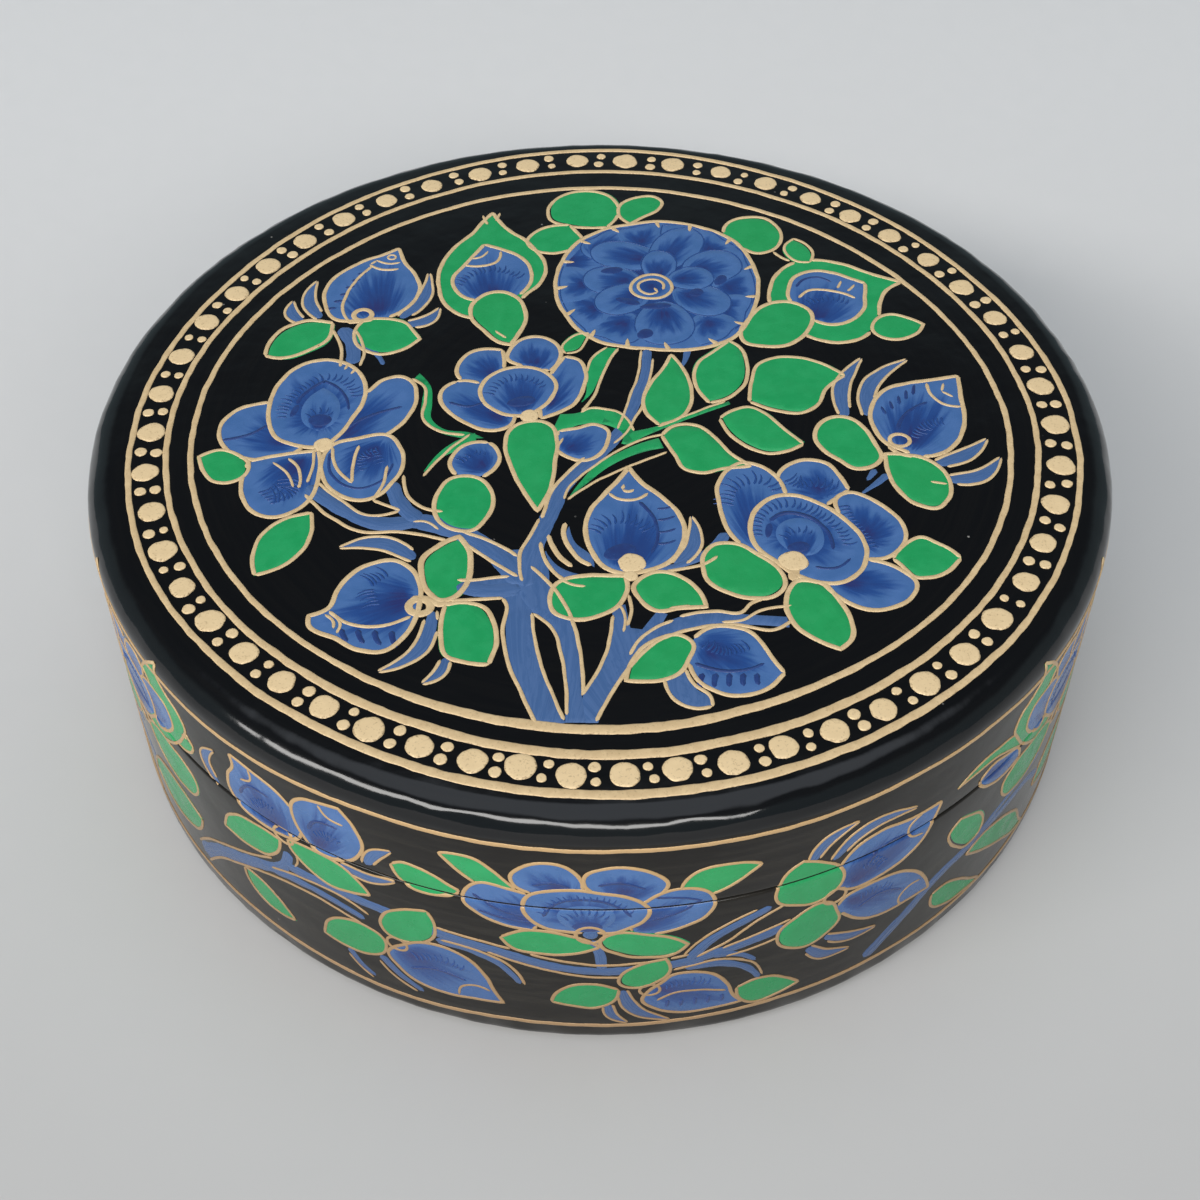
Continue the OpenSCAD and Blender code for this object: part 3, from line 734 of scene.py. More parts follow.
GOLD_SECTION = [(-1, 0), (-0.92, 0.62), (-0.68, 0.9), (0, 1), (0.68, 0.9), (0.92, 0.62), (1, 0)]
FLAT_SECTION = [(-1, 0), (-0.88, 1), (0, 1), (0.88, 1), (1, 0)]


def ribbon(run, widths, kind, base, tone, ends=True):
    """A brushed line: uneven in width, blunt at its ends, raised if it is gold."""
    total = sum((b - a).length for a, b in zip(run, run[1:]))
    if total < 0.2:
        return [], [], []
    gold = kind == "gold"
    section = GOLD_SECTION if gold else FLAT_SECTION
    looped = (run[0] - run[-1]).length < 1e-4 and total > 3
    verts, brush, faces, at = [], [], [], 0
    last = len(run) - 1
    for i, p in enumerate(run):
        at += (p - run[i - 1]).length if i else 0
        ahead = run[min(i + 1, last)] if i < last or not looped else run[1]
        behind = run[max(i - 1, 0)] if i or not looped else run[-2]
        way = (ahead - behind).normalized()
        side = Vector((-way.y, way.x))
        share = at / total
        width = widths[i] if len(widths) == len(run) else widths[0] + (widths[-1] - widths[0]) * share
        sway = noise.noise(Vector((at * 0.7, tone * 90, 1))) * 0.14
        shake = noise.noise(Vector((at * 2.6, tone * 90, 5))) * 0.06
        fade = 1 if ends and not looped else min(1, 4 * math.sin(math.pi * share))
        half = width / 2 * (1 + (sway + shake) * fade)
        end = min(at, total - at)
        if ends and not looped and end < half:
            half *= math.sqrt(max(1 - (1 - end / half) ** 2, 0.02))
        wander = side * noise.noise(Vector((at * 0.5, tone * 70, 9))) * 0.08 * fade
        if gold:
            crown = LINE_TOP + 0.008 * noise.noise(Vector((at * 0.8, tone * 50, 3)))
        else:
            crown = base
        for u, rise in section:
            spot = p + side * half * u + wander
            verts.append((spot.x, spot.y, -SINK + (crown + SINK) * rise))
            brush.append((at, abs(u), 0.3) if gold else (at, u, (1 - abs(u)) * half))
    k = len(section)
    for i in range(last):
        for j in range(k - 1):
            a = i * k + j
            faces.append([a + 1, a, a + k, a + k + 1])
    return verts, faces, brush


def drop(centre, r, tone):
    """A raised touch of gold, not quite round."""
    rings = [(0, 1), (0.4, 0.995), (0.7, 0.97), (0.88, 0.88), (0.97, 0.6), (1, 0)]
    count = 40 if r > 0.9 else 20
    verts, brush = [(centre.x, centre.y, DROP_TOP)], [(0, 0, 1)]
    for share, rise in rings[1:]:
        for k in range(count):
            a = 2 * math.pi * k / count
            d = Vector((math.cos(a), math.sin(a)))
            uneven = noise.noise(Vector((d.x * 0.8, d.y * 0.8, tone * 60 + centre.x))) * 0.16
            fine = noise.noise(Vector((d.x * 2.2, d.y * 2.2, tone * 80 + centre.y))) * 0.06
            spot = centre + d * r * share * (1 + (uneven + fine) * share)
            verts.append((spot.x, spot.y, -SINK + (DROP_TOP + SINK) * rise))
            brush.append((a, share, 1 - share))
    faces = [[0, 1 + k, 1 + (k + 1) % count] for k in range(count)]
    for ring in range(len(rings) - 2):
        for k in range(count):
            a, b = 1 + ring * count + k, 1 + ring * count + (k + 1) % count
            faces.append([a, a + count, b + count, b])
    return verts, faces, brush


LID_NODES = {
    "gold": ("lid_outlines",),
    "leaves": ("lid_leaves",),
    "petals": ("lid_blooms", "lid_buds"),
    "ink": ("lid_blooms", "lid_buds"),
    "stems": ("lid_sepals", "lid_branches"),
}
SIDE_NODES = {
    "lid": {
        "gold": ("lid_side_blooms",),
        "leaves": ("lid_side_leaves",),
        "petals": ("lid_side_blooms",),
        "ink": ("lid_side_blooms",),
        "stems": ("lid_side_sepals",),
    },
    "base": {
        "gold": ("base_side_knobs",),
        "leaves": ("base_side_leaves",),
        "petals": ("base_side_blooms",),
        "ink": ("base_side_blooms",),
        "stems": ("base_side_stems",),
    },
}


def on_lid(painting, nodes=None):
    """Lays a painting on the lid's flat top."""
    for (_, kind), (verts, faces, brush, tone, edge) in painting.laid().items():
        spots = [(x, y, BOX_H + z) for x, y, z in verts]
        finish, slot = PAINTS[kind]
        marks = {"brush": brush, "tone": tone, "edge": edge}
        piece = new_piece(f"lid_{painting.name}_{kind}", "lid", slot, spots, faces, [finish], marks)
        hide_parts(*(nodes or LID_NODES[kind]))


def wall_point(s, h, z):
    """A point of the wall: s along it, h above the table, z out from the lacquer."""
    gap = abs(h - SEAM_H) - SEAM_GAP
    r, tilt = BOX_R, max(0, h - BOX_H + SHOULDER_R) / SHOULDER_R
    if gap < LIP_R:
        r -= LIP_R - math.sqrt(max(LIP_R**2 - (LIP_R - max(gap, 0)) ** 2, 0))
    if tilt:
        r = BOX_R - SHOULDER_R + SHOULDER_R * math.cos(tilt)
        h = BOX_H - SHOULDER_R + (SHOULDER_R + z) * math.sin(tilt)
    a = s / BOX_R - math.pi / 2
    r += z * math.cos(tilt)
    return r * math.cos(a), r * math.sin(a), h


def cut(verts, faces, marks, level):
    """Splits flat triangles and quads along h = level; every new point takes mixed marks."""
    made, out = {}, []

    def between(a, b):
        key = (min(a, b), max(a, b))
        if key not in made:
            t = (level - verts[a][1]) / (verts[b][1] - verts[a][1])
            made[key] = len(verts)
            verts.append(tuple(p + (q - p) * t for p, q in zip(verts[a], verts[b])))
            marks.append(tuple(p + (q - p) * t for p, q in zip(marks[a], marks[b])))
        return made[key]

    for face in faces:
        above = [verts[c][1] > level for c in face]
        if all(above) or not any(above):
            out.append(face)
            continue
        for keep in (True, False):
            part = []
            for k, c in enumerate(face):
                d = face[(k + 1) % len(face)]
                if above[k] == keep:
                    part.append(c)
                if above[k] != above[(k + 1) % len(face)]:
                    part.append(between(c, d))
            if len(part) > 2:
                out.append(part)
    return out


def on_wall(painting, shift):
    """Wraps a painting round the wall, in two halves, and parts it at the seam."""
    halves = painting.laid(lambda middle: "left" if middle.x < HALVES_MEET else "right")
    for (half, kind), (verts, faces, brush, tone, edge) in halves.items():
        verts = list(verts)
        marks = [(*b, t, e) for b, t, e in zip(brush, tone, edge)]
        for level in sorted(SEAM_H + side * step for side in (-1, 1) for step in LIP_CUTS):
            faces = cut(verts, faces, marks, level)
        finish, slot = PAINTS[kind]
        for body, low, high in (("base", -9, SEAM_H - BARE_LIP), ("lid", SEAM_H + BARE_LIP, 99)):
            kept = [f for f in faces if low < sum(verts[c][1] for c in f) / len(f) < high]
            used = sorted({c for f in kept for c in f})
            if not kept:
                continue
            at = {c: i for i, c in enumerate(used)}
            spots = [wall_point(verts[c][0] + shift, verts[c][1], verts[c][2]) for c in used]
            chosen = [marks[c] for c in used]
            named = {
                "brush": [m[:3] for m in chosen],
                "tone": [m[3] for m in chosen],
                "edge": [m[4] for m in chosen],
            }
            name = f"{body}_{painting.name}_{half}_{kind}"
            piece = new_piece(name, body, slot, spots, [[at[c] for c in f] for f in kept], [finish], named)
            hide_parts(*SIDE_NODES[body][kind])


RING_RADII = {
    1: (56, 55.8, 55.9, 55.8, 54.8, 55.4, 56.4, 55.2, 54, 54.7, 55.3, 55.3),
    2: (51, 50.9, 51, 51.1, 50.4, 50.7, 51.2, 50.3, 49.8, 50.6, 50.7, 50.4),
    3: (47.8, 47.5, 48.1, 47.9, 46.8, 46.9, 47.2, 46.8, 46.9, 47.7, 47.8, 47.5),
}


def ring_radius(number, degrees):
    """How far a ring is from the middle, eased between twelve radii that begin at the front."""
    at, radii = degrees / 30 % 12, RING_RADII[number]
    k = int(at)
    t = at - k
    a, b, c, d = (radii[(k + step) % 12] for step in (-1, 0, 1, 2))
    return b + t / 2 * (c - a + t * (2 * a - 5 * b + 4 * c - d + t * (3 * (b - c) + d - a)))


def ring_spot(radius, degrees):
    """A point on a ring, by its turn from the front."""
    a = math.radians(degrees - 90)
    return radius * math.cos(a), radius * math.sin(a)


def border_rings():
    """Three gold rings, drawn freehand, and heavier at the front."""
    for number, back, front, start in ((1, 0.74, 1.16, 0.6), (2, 0.74, 1.24, 0.6), (3, 0.72, 1.3, 0.8)):
        art = Painting(f"ring_{number}", number)
        run, widths = [], []
        for k in range(721):
            turn = k % 720 / 2 + 180
            d = Vector(ring_spot(1, turn))
            sway = noise.noise(Vector((d.x * 4, d.y * 4, number * 7.3))) * 0.12
            sway += noise.noise(Vector((d.x * 11, d.y * 11, number * 3.1))) * 0.08
            run.append(d * (ring_radius(number, turn) + sway))
            near = max(0, -d.y - start) / (1 - start)
            widths.append(back + (front - back) * near)
        art.work.append(("line", "gold", run, widths))
        on_lid(art, ["lid_rings"])


def border_beads():
    """Lumpy beads between the outer rings, closer at the front, with two touches of gold in each gap."""
    art = Painting("bead_row", 11)
    gaps = []
    for k in range(BEADS):
        turn = min(k + 0.5, BEADS - 0.5 - k) / BEADS * 360
        gaps.append((5.7 + 1.9 * min(1, (turn / 75) ** 1.5)) * art.chance.uniform(0.95, 1.05))
    turn, whole = -3, 360 / sum(gaps)
    for gap in gaps:
        r = art.chance.uniform(1.46, 1.66) * (0.96 + 0.06 * art.chance.random())
        row = (ring_radius(1, turn) + ring_radius(2, turn)) / 2
        x, y = ring_spot(row + art.chance.uniform(-0.22, 0.22), turn)
        art.knob(x, y, r)
        middle = turn + gap * whole / 2
        for side in (-1, 1):
            radius = row + side * art.chance.uniform(0.78, 0.98)
            x, y = ring_spot(radius, middle + art.chance.uniform(-0.4, 0.4))
            art.knob(x, y, art.chance.uniform(0.5, 0.72))
        turn += gap * whole
    on_lid(art, ["lid_beads"])


def oval(x, y, long, wide, way):
    """An oval about x, y with its long half along way, and a little fuller there."""
    a = math.radians(way)
    flat = []
    for k in range(10):
        t = math.radians(-180 + 36 * k)
        u, v = long * math.cos(t), wide * math.sin(t) * (1 + 0.12 * math.cos(t))
        flat += [x + u * math.cos(a) - v * math.sin(a), y + u * math.sin(a) + v * math.cos(a)]
    return flat


def inset_of(flat, outline):
    """A petal's points, drawn in where they would pass the bloom's outline."""
    ring = list(zip(outline[::2], outline[1::2]))
    out = []
    for p in zip(flat[::2], flat[1::2]):
        p = Vector(p)
        while not inside([p + (p - ROSETTE_MIDDLE).normalized() * 0.35], ring)[0]:
            p = ROSETTE_MIDDLE + (p - ROSETTE_MIDDLE) * 0.96
        out += [p.x, p.y]
    return out


def sepal(art, *flat, w=1.5):
    """A narrow blue sepal that ends in a point, with a gold stroke along each edge."""
    run = [p for part in smooth(flat, step=0.25) for p in part]
    last = len(run) - 1
    widths = [w * ((0.5 + 0.55 * math.sin(math.pi * (i / last) ** 0.8)) * (1 - (i / last) ** 5) + 0.08)
              for i in range(last + 1)]
    art.work.append(("line", "stems", run, widths))
    for side, start in ((1, 0), (-1, round(last * 0.12))):
        edge = []
        for i in range(start, last + 1):
            way = (run[min(i + 1, last)] - run[max(i - 1, 0)]).normalized()
            edge.append(run[i] + Vector((-way.y, way.x)) * side * (widths[i] / 2 + 0.06))
        art.work.append(("line", "gold", edge, (0.6 * art.brush, 0.5 * art.brush)))


def trunk(art):
    """The forked trunk and its branches, in blue with gold along their edges."""
    art.patch("stems", -10.2, -30, -12.5, -29.4, -13.8, -27, -9.6, -26.6, -10.6, -24.6, -9.6, -22.4,
              -7, -22.6, -5.4, -26.4, -6.4, -30.2, -8, -32)
    art.patch("stems", -6, -47, -8, -43, -9.5, -38.4, -10, -34, -10, -30.6, -10.4, -28.4, -8.4, -26,
              -6.6, -28, -7.2, -32, -6.2, -38, -5, -42.6, -3.4, -47)
    art.patch("stems", -3.5, -47, -4.1, -38.4, -5.2, -34, -7.2, -31.8, -8.8, -28.4, -7.4, -25, -4.6, -28.8,
              -3.2, -32, -2, -38, -1.8, -43.2, -1, -47)
    art.patch("stems", -1.5, -47, -1.8, -43.3, 0.5, -38.2, 1.3, -33.4, 1.6, -31, 2.7, -30.6, 3.2, -34,
              4.4, -34.2, 6, -31.6, 7.2, -32, 6.6, -33.4, 8.4, -32.4, 12.2, -31.7, 15, -32, 19.8, -32.4,
              20, -34, 14.4, -33.6, 9.6, -34.2, 6, -36, 3.4, -39, 1.6, -42.2, -0.2, -47)
    art.stem(-8.5, -28.4, -12, -28.6, -15.4, -27.9, w=(2.3, 2))
    art.stem(-8.6, -27.6, -10.4, -24.4, -13.4, -21.2, -17.4, -18.8, -21.6, -17.6, w=(2.6, 2.6))
    art.stem(-20.4, -18, -25, -18.2, -29.2, -15.8, -33.2, -12.2, w=(2.1, 1.8))
    art.stem(-20.2, -17.8, -22.4, -15.2, -23.8, -11.4, w=(2.2, 1.7))
    art.stem(-8.2, -28, -7.8, -25, -7.1, -21.4, -5.5, -16.6, -4.4, -12.8, -3.2, -10.6, -0.6, -7.4,
             1.2, -4.8, 2.5, -2.6, 3.7, 0.8, 4.5, 4, 5.3, 6.6, 5.7, 12.4, w=(2.3, 1.2))
    art.stem(10.8, 12.4, 10.4, 10.4, 9.8, 8.8, w=(1, 0.4))
    art.stem(31.6, -9.4, 30.4, -11.2, w=(1, 0.5))
    art.stem(33, -10.2, 31.4, -11.8, 29.6, -13.4, w=(1.1, 0.3))
    art.line(-6.4, -47, -8, -43, -9.6, -38.4, -10.2, -34, -10, -30.6, -10.4, -29.7, -16, -30, w=0.66)
    art.line(-3.6, -46.6, -5, -42.6, -6.2, -38.6, -7.2, -31.9, w=0.6)
    art.line(-3.4, -46, -4, -38.4, -5.2, -34, -7.1, -32, w=0.6)
    art.line(-1.7, -43.2, -2, -38, -3.2, -32, -4.5, -29, -7.5, -24.9, w=0.66)
    art.line(-1.9, -43.3, 0.5, -38, 1.4, -32.2, w=0.62)
    art.line(-0.4, -46.8, 1.6, -42.2, 3.4, -39, 6, -36, 9.6, -34.2, 14.4, -33.6, 18.6, -34.2, 20.2, -33,
             w=0.66)
    art.line(3.1, -37.9, 4.6, -35.2, 7.8, -33, w=0.6)
    art.line(8.4, -32.4, 12.2, -31.6, 15, -31.8, 16.2, -30.4, 17.4, -29.8, w=0.66)
    art.line(12.9, -33.2, 15, -33, 17, -31.6, 20.4, -30.8, w=0.55)
    art.line(2.9, -33.8, 3.4, -31.4, 3.1, -29.3, w=0.6)
    art.line(2.4, -34.6, 2.6, -32.4, 2, -30.6, w=0.5)
    art.line(-9.8, -26.5, -11.6, -26.7, -13.5, -27, -15.4, -27, w=0.62)
    art.line(-8.9, -26.5, -10.7, -25.2, -12.2, -23.9, -13.9, -22.4, -15.4, -20.9, w=0.68)
    art.line(-9.1, -23.4, -10, -22.5, -11.3, -21.6, -12.9, -20.6, -14.4, -19.9, -15.4, -19.3, w=0.68)
    art.line(-8.4, -27.2, -8.8, -24.8, -8.8, -23, -8.1, -21, -7.2, -18.7, -6.8, -17.5, w=0.66)
    art.line(-17.6, -16.4, -20.4, -15.4, -22, -13, -22.4, -10.4, w=0.66)
    art.line(-24.4, -8.8, -24.6, -11.4, -25.6, -14.6, -22.4, -16.2, -25.6, -17, -29, -14.6, -32, -11.6,
             w=0.6)
    art.line(-17, -20.9, -22.4, -19.6, -26.4, -19.6, -30.2, -17.2, -33.4, -13.6, w=0.66)
    art.line(-17.9, -19.3, -19.6, -18, -20.8, -18.1, w=0.5)
    art.line(-6.5, -17.5, -6.2, -16.1, -5.4, -12.8, -4.1, -10.6, -1.8, -7.4, w=0.72)
    art.line(1.6, -4.9, 3.2, -2.9, 4.1, -0.6, 5.1, 1.8, 5.2, 3.2, 6, 6.4, 6.5, 10.6, w=0.5)
    art.line(2, -2.4, 2.8, 0.4, 3.6, 3.8, 4.4, 6.8, 5, 12.2, w=0.5)


def twig(art):
    """The green twig that carries the leaves on the right."""
    art.patch("leaves", -3.7, -14.2, -2.3, -11.4, -0.4, -8.5, 1.6, -6.8, 4.5, -4.9, 6.8, -3.9, 7.4, -5.7,
              5.8, -6.1, 3.2, -7.3, 0.9, -9, -1.4, -11.6)
    art.patch("leaves", 3.2, -5.2, 2.5, -5, 2.7, -3.7, 1.9, -2.4, 0.2, -1.5, 0.8, 1, 2.3, 0.5, 3.4, -0.9,
              4, -2.8, 6.5, -2, 9.4, -0.4, 15.4, 2.6, 15.6, 2, 9.9, -1, 6.8, -2.8, 5.2, -3.8)
    art.line(-4, -14.4, -3.6, -12.8, -2, -10.4, 0.2, -8, 2.5, -5.9, 5.2, -4.2, 7.5, -3.3, 10.2, -2.2, w=0.5)
    art.line(-3.7, -14.4, -1.4, -12.1, 1.9, -9.7, 5.1, -7.8, 7.7, -6.4, w=0.5)
    art.line(6.8, -2, 7.9, -1.4, 10.6, 0.2, 14.9, 2.6, w=0.5)
    art.leaf(7, -1.7, 5.3, 1, 5.2, 3, 6.2, 6, 7.8, 9, 8.7, 11.4, 10.1, 8.5, 10.9, 5, 10.7, 2, 9.5, -0.3)
    art.leaf(13.1, 2.3, 11.8, 4.8, 11.4, 7.3, 12, 9.8, 14, 12, 15.9, 14, 17.1, 12.8, 17.9, 9.5, 17, 5,
             15, 3)
    art.leaf(17.8, 2.5, 18.2, 6, 19.3, 9.5, 21.5, 10.8, 24.5, 10.7, 27.5, 9.3, 29.6, 7.4, 27, 4.8, 25.8, 2,
             23.8, 0.5, 21, 0.9)
    art.leaf(14.2, -0.5, 16, 1, 17.5, 1.5, 19.5, 0.4, 21.5, -2.3, 23.7, -5, 21.5, -6.3, 19.5, -6.6,
             17, -5.3, 15, -2.8)
    art.leaf(7.2, -3.5, 9, -1.7, 11.2, -1.7, 13.5, -4, 15, -6.5, 17.4, -8.9, 14.5, -9.2, 11.5, -9.9,
             9.7, -9.3, 8.7, -7)


def rosette(art):
    """The great many-petalled bloom, with three leaves behind it."""
    art.leaf(-6.6, 39.8, -6.9, 41.5, -6.3, 43.8, -4.3, 45.8, -1.8, 46.4, 0.5, 45.8, 2, 44.2, 2.5, 41.2,
             1, 38, -3.6, 38.2)
    art.leaf(2.5, 41, 3, 43.5, 5, 44.9, 7.5, 45, 8.4, 43.8, 7.8, 42, 6, 40.5, 4, 38.8)
    art.leaf(-4, 38.5, -6.5, 38.2, -8.8, 36.5, -9.5, 34.8, -8.5, 33, -6.5, 32.2, -4.5, 32.6, -2, 35)
    art.leaf(16.3, 36.8, 17.2, 39.2, 19.5, 40.3, 22, 40, 23.5, 38, 23.9, 35.8, 22.8, 33.2, 20.5, 32.2,
             18.5, 33.5)
    outline = (
        7.5, 39.4, 4, 38.7, 1.5, 38, -0.8, 36.6, -2.6, 35, -3.9, 33, -4.9, 30.4, -5.5, 28, -5.6, 24.6,
        -5.2, 21.7, -4.2, 19.2, -3, 16.8, -1.2, 14.8, 1, 13.5, 3.4, 12.9, 5.8, 12.6, 8.5, 12.3, 11.8, 12.5,
        14.5, 13.4, 16.7, 14.9, 18.2, 17.2, 19.3, 20.2, 20, 23, 20.3, 26.3, 19.9, 29.5, 19, 32.5,
        17.2, 35.5, 15, 37.2, 12, 38.6, 9.8, 39.2,
    )
    art.patch("petals", *outline, foot=(7, 26))
    # Each petal: its middle, half its length, half its width, and the way it points
    back = (
        (-3.4, 31.4, 4.6, 3.8, 30), (0.6, 35, 4.4, 3.4, 70), (5, 37, 4.6, 3, 100), (11, 37, 5, 3, 80),
        (15.6, 34.6, 4.4, 3.6, 50), (18, 30.2, 4.4, 3.6, 20), (18.4, 25, 4.2, 3.8, 0),
        (17.6, 19.8, 4.2, 3.8, -25), (14.8, 15.8, 4.4, 3.6, -55), (1.6, 15.8, 4.6, 3.6, 235),
        (-2.6, 19.8, 4.2, 3.8, 205), (-4, 25.6, 4, 4, 180),
    )
    front = (
        (3.4, 31.6, 4.8, 3, 165), (9.8, 33.2, 5, 3.1, 60), (14.4, 29.4, 4, 3.3, 20),
        (1.6, 26.4, 3.8, 2.9, 178), (3, 22.6, 4, 2.9, 215), (12.8, 22.4, 4, 3, -30),
        (8, 17.6, 4.4, 3.7, -88), (7.6, 29.4, 3.4, 2.3, 88), (11.6, 26.8, 3, 2.4, 10),
    )
    hollows = (
        (1.5, 28.5, 1.6, 0.8, 10), (3.5, 22, 1.8, 0.7, -20), (15.4, 26.4, 1.3, 0.8, 60),
        (7, 21, 2.2, 0.7, 5), (12.2, 23.8, 1.1, 0.9, 30), (5.6, 15.4, 1.2, 1, 40),
    )
    for x, y, long, wide, way in back + front:
        petal_flat = oval(x, y, long, wide, way)
        a = math.radians(way)
        foot = (x - long * 0.5 * math.cos(a), y - long * 0.5 * math.sin(a))
        kept = inset_of(petal_flat, outline)
        art.patch("petals", *kept, foot=foot, shift=0.02)
        art.work.append(("line", "feather", smooth(kept, True)[0], (0.16, 0.16)))
    for hollow in hollows:
        art.patch("ink", *oval(*hollow), shift=0.02)
    art.line(*outline, w=0.85, closed=True)
    for k in range(0, len(outline), 4):
        x, y = outline[k], outline[k + 1]
        d = (ROSETTE_MIDDLE - Vector((x, y))).normalized()
        art.stem(x, y, *(Vector((x, y)) + d * 1.5 + Vector((-d.y, d.x)) * 0.4), w=(0.8, 0.28), kind="gold")
    art.patch("petals", *oval(6.5, 25, 3, 2.8, 0), foot=(6.5, 25), shift=0)
    art.line(*oval(6.5, 25, 2.65, 2.5, 20), w=0.7, closed=True)
    art.line(8, 24.4, 8.1, 25.6, 7.2, 26.5, 5.8, 26.4, 4.9, 25.4, 5.2, 24.1, 6.4, 23.5, 7.4, 24, 7, 24.8,
             w=0.6)


def left_sheathed_bud(art):
    """The bud in a green sheath, left of the great bloom."""
    art.leaf(-14.4, 41.4, -15.5, 39.5, -17, 36.5, -18.8, 34, -20.2, 31, -20.8, 28, -20.6, 25, -19.9, 22,
             -18.5, 20, -16.5, 18.8, -12.4, 19.4, -9.3, 23.7, -7.9, 25.5, -7.1, 28, -7.3, 30.5, -8.5, 33,
             -10, 35.3, -12, 37.2, -13.4, 39.3, w=0.8)
    art.line(-15.6, 40.6, -14.9, 38.6, w=0.6)
    art.line(-13.4, 41.2, -13.9, 39.4, w=0.6)
    art.petal(-15.2, 34.2, -13, 33.2, -11, 32, -9.4, 30, -8.8, 27.5, -9.3, 25, -10.5, 23.3, -13, 22,
              -15.5, 22.2, -17, 22.7, -18.5, 24.5, -18.9, 27, -18, 29, -16.8, 31.2, foot=(-13.6, 22.8))
    art.line(-17.6, 29.6, -15.4, 29.4, -13.4, 30.4, -13, 32.6, w=0.6)
    art.line(-16.6, 31, -15.4, 31.4, -14.6, 32.6, w=0.5)
    art.comb(-17.6, 25, -16, 27.4, -13, 28, -10.4, 26.4, reach=1.6)
    art.leaf(-12.5, 24, -10.5, 22.8, -9.5, 20.5, -9.3, 18, -10, 15.5, -11, 13.3, -12.5, 13.8, -14.2, 15.8,
             -16, 18.5, -16.3, 20.7, -15, 23, -13.7, 23.8, w=0.85)
    art.line(-13, 16, -11.6, 14.6, w=0.5)


def right_sheathed_bud(art):
    """The bud in a green sheath, right of the great bloom."""
    art.leaf(21.5, 22, 21.8, 25, 23, 28, 25, 30, 28, 30.7, 31, 30, 35, 27.7, 38.6, 26, 36.5, 24.2, 35.5, 22,
             35, 19, 33.8, 16, 32, 14.3, 29.5, 13.7, 26.5, 14.5, 24, 17, w=0.8)
    art.petal(24, 22.5, 24.1, 25, 25.2, 27.3, 27.5, 28.4, 30, 28, 32.5, 26.6, 33.9, 25.8, 33.7, 23.5,
              33, 20, 31.5, 18.2, 29.5, 17.3, 27, 18, 25.8, 20, foot=(27, 18.6))
    art.line(25.2, 22.7, 26.5, 24.2, 28.5, 24.4, 31, 23.6, 32.4, 22.7, w=0.62)
    art.line(30.3, 24.7, 30.6, 25.4, 30.9, 26.2, w=0.5)
    art.line(31.5, 24.1, 32, 24.7, 32.5, 25.4, w=0.5)
    art.ink(25, 25, 26.2, 26.6, 28, 27, 29.6, 26, w=0.4)
    art.comb(26.4, 21, 28.6, 22, 31.4, 21.2, reach=1.6)
    art.leaf(17.5, 15.5, 18.7, 18.5, 21, 21.3, 23.3, 22, 25.3, 21.3, 26.6, 19.5, 26.3, 17, 25, 14.8,
             23, 13.2, 20.5, 13, 17.8, 14, w=0.85)
    art.leaf(34.8, 18.5, 36.5, 19.3, 38.5, 18.7, 40.4, 17.3, 39.5, 15.7, 37.5, 14.4, 35.5, 14.5, 34, 16)
    art.leaf(25.5, 35.5, 27, 34.3, 27.8, 31.8, 27.3, 30.3, 25.5, 30.5, 24.4, 31.8, 24.2, 33.8, w=0.6)
    art.line(22.6, 32.6, 23.8, 31.2, 24.6, 30.6, w=0.6)


def upper_left_bud(art):
    """The bud that leans out at the upper left, with four thin sepals."""
    art.stem(-32.2, 16.6, -30.6, 13.6, -30.2, 9.6, w=(2, 1.8))
    art.stem(-29.8, 13.4, -27.6, 11.8, -26.4, 9.4, w=(0.9, 0.6))
    for flat in ((-25, 18.6, -22.4, 22.5, -22, 27.8), (-24.2, 17.4, -21.6, 18.2, -20.2, 20.6),
                 (-37.2, 17.8, -38.6, 19.4, -38.8, 22), (-35, 18.6, -36.8, 22, -36.2, 26.2)):
        sepal(art, *flat)
    art.petal(-26.3, 33.4, -25.3, 30.3, -23.5, 27, -23, 25, -23.6, 22, -25, 20, -27, 18.6, -30, 18.2,
              -33, 18.3, -34.6, 21, -35, 24, -34.2, 26.8, -32.4, 29, -30, 31, -28.4, 31.8, foot=(-28, 20))
    art.line(-29.5, 29.4, -31, 27, -32.2, 23.5, -32.4, 20, -31.3, 17.8, w=0.62)
    for k in range(6):
        art.ink(-34.3 + k * 0.62, 20.4 + k * 1.45, -33.2 + k * 0.62, 20.7 + k * 1.45, w=0.55)
    art.line(-29.8, 29.7, -28.5, 28.8, -26, 28.8, w=0.62)
    art.line(-29.7, 29.8, -29, 30.6, -27.6, 30, -25.9, 30.2, w=0.5)
    art.knob(-27.1, 31.3, 0.5, w=0.45)
    art.leaf(-33.3, 17.6, -36.8, 18, -39.5, 16.3, -40.7, 14, -41, 11.2, -38.6, 10.7, -36, 12, -33.8, 14,
             w=0.8)
    art.leaf(-30.5, 15.5, -30.2, 13.8, -28.5, 12, -27, 11.5, -25, 12, -22.3, 14.5, -23.2, 16, -24.5, 17.8,
             -27, 18.5, -29.6, 18)
    art.line(-33.4, 16.4, -31.9, 13, -31.6, 9, w=0.66)
    art.line(-30.4, 16.2, -29, 12.4, -29.2, 9.2, w=0.6)
    art.knob(-29.7, 19.2, 1.15, w=1)
    art.line(-31.6, 17.7, -30.2, 17.9, -28.4, 18.2, w=1)


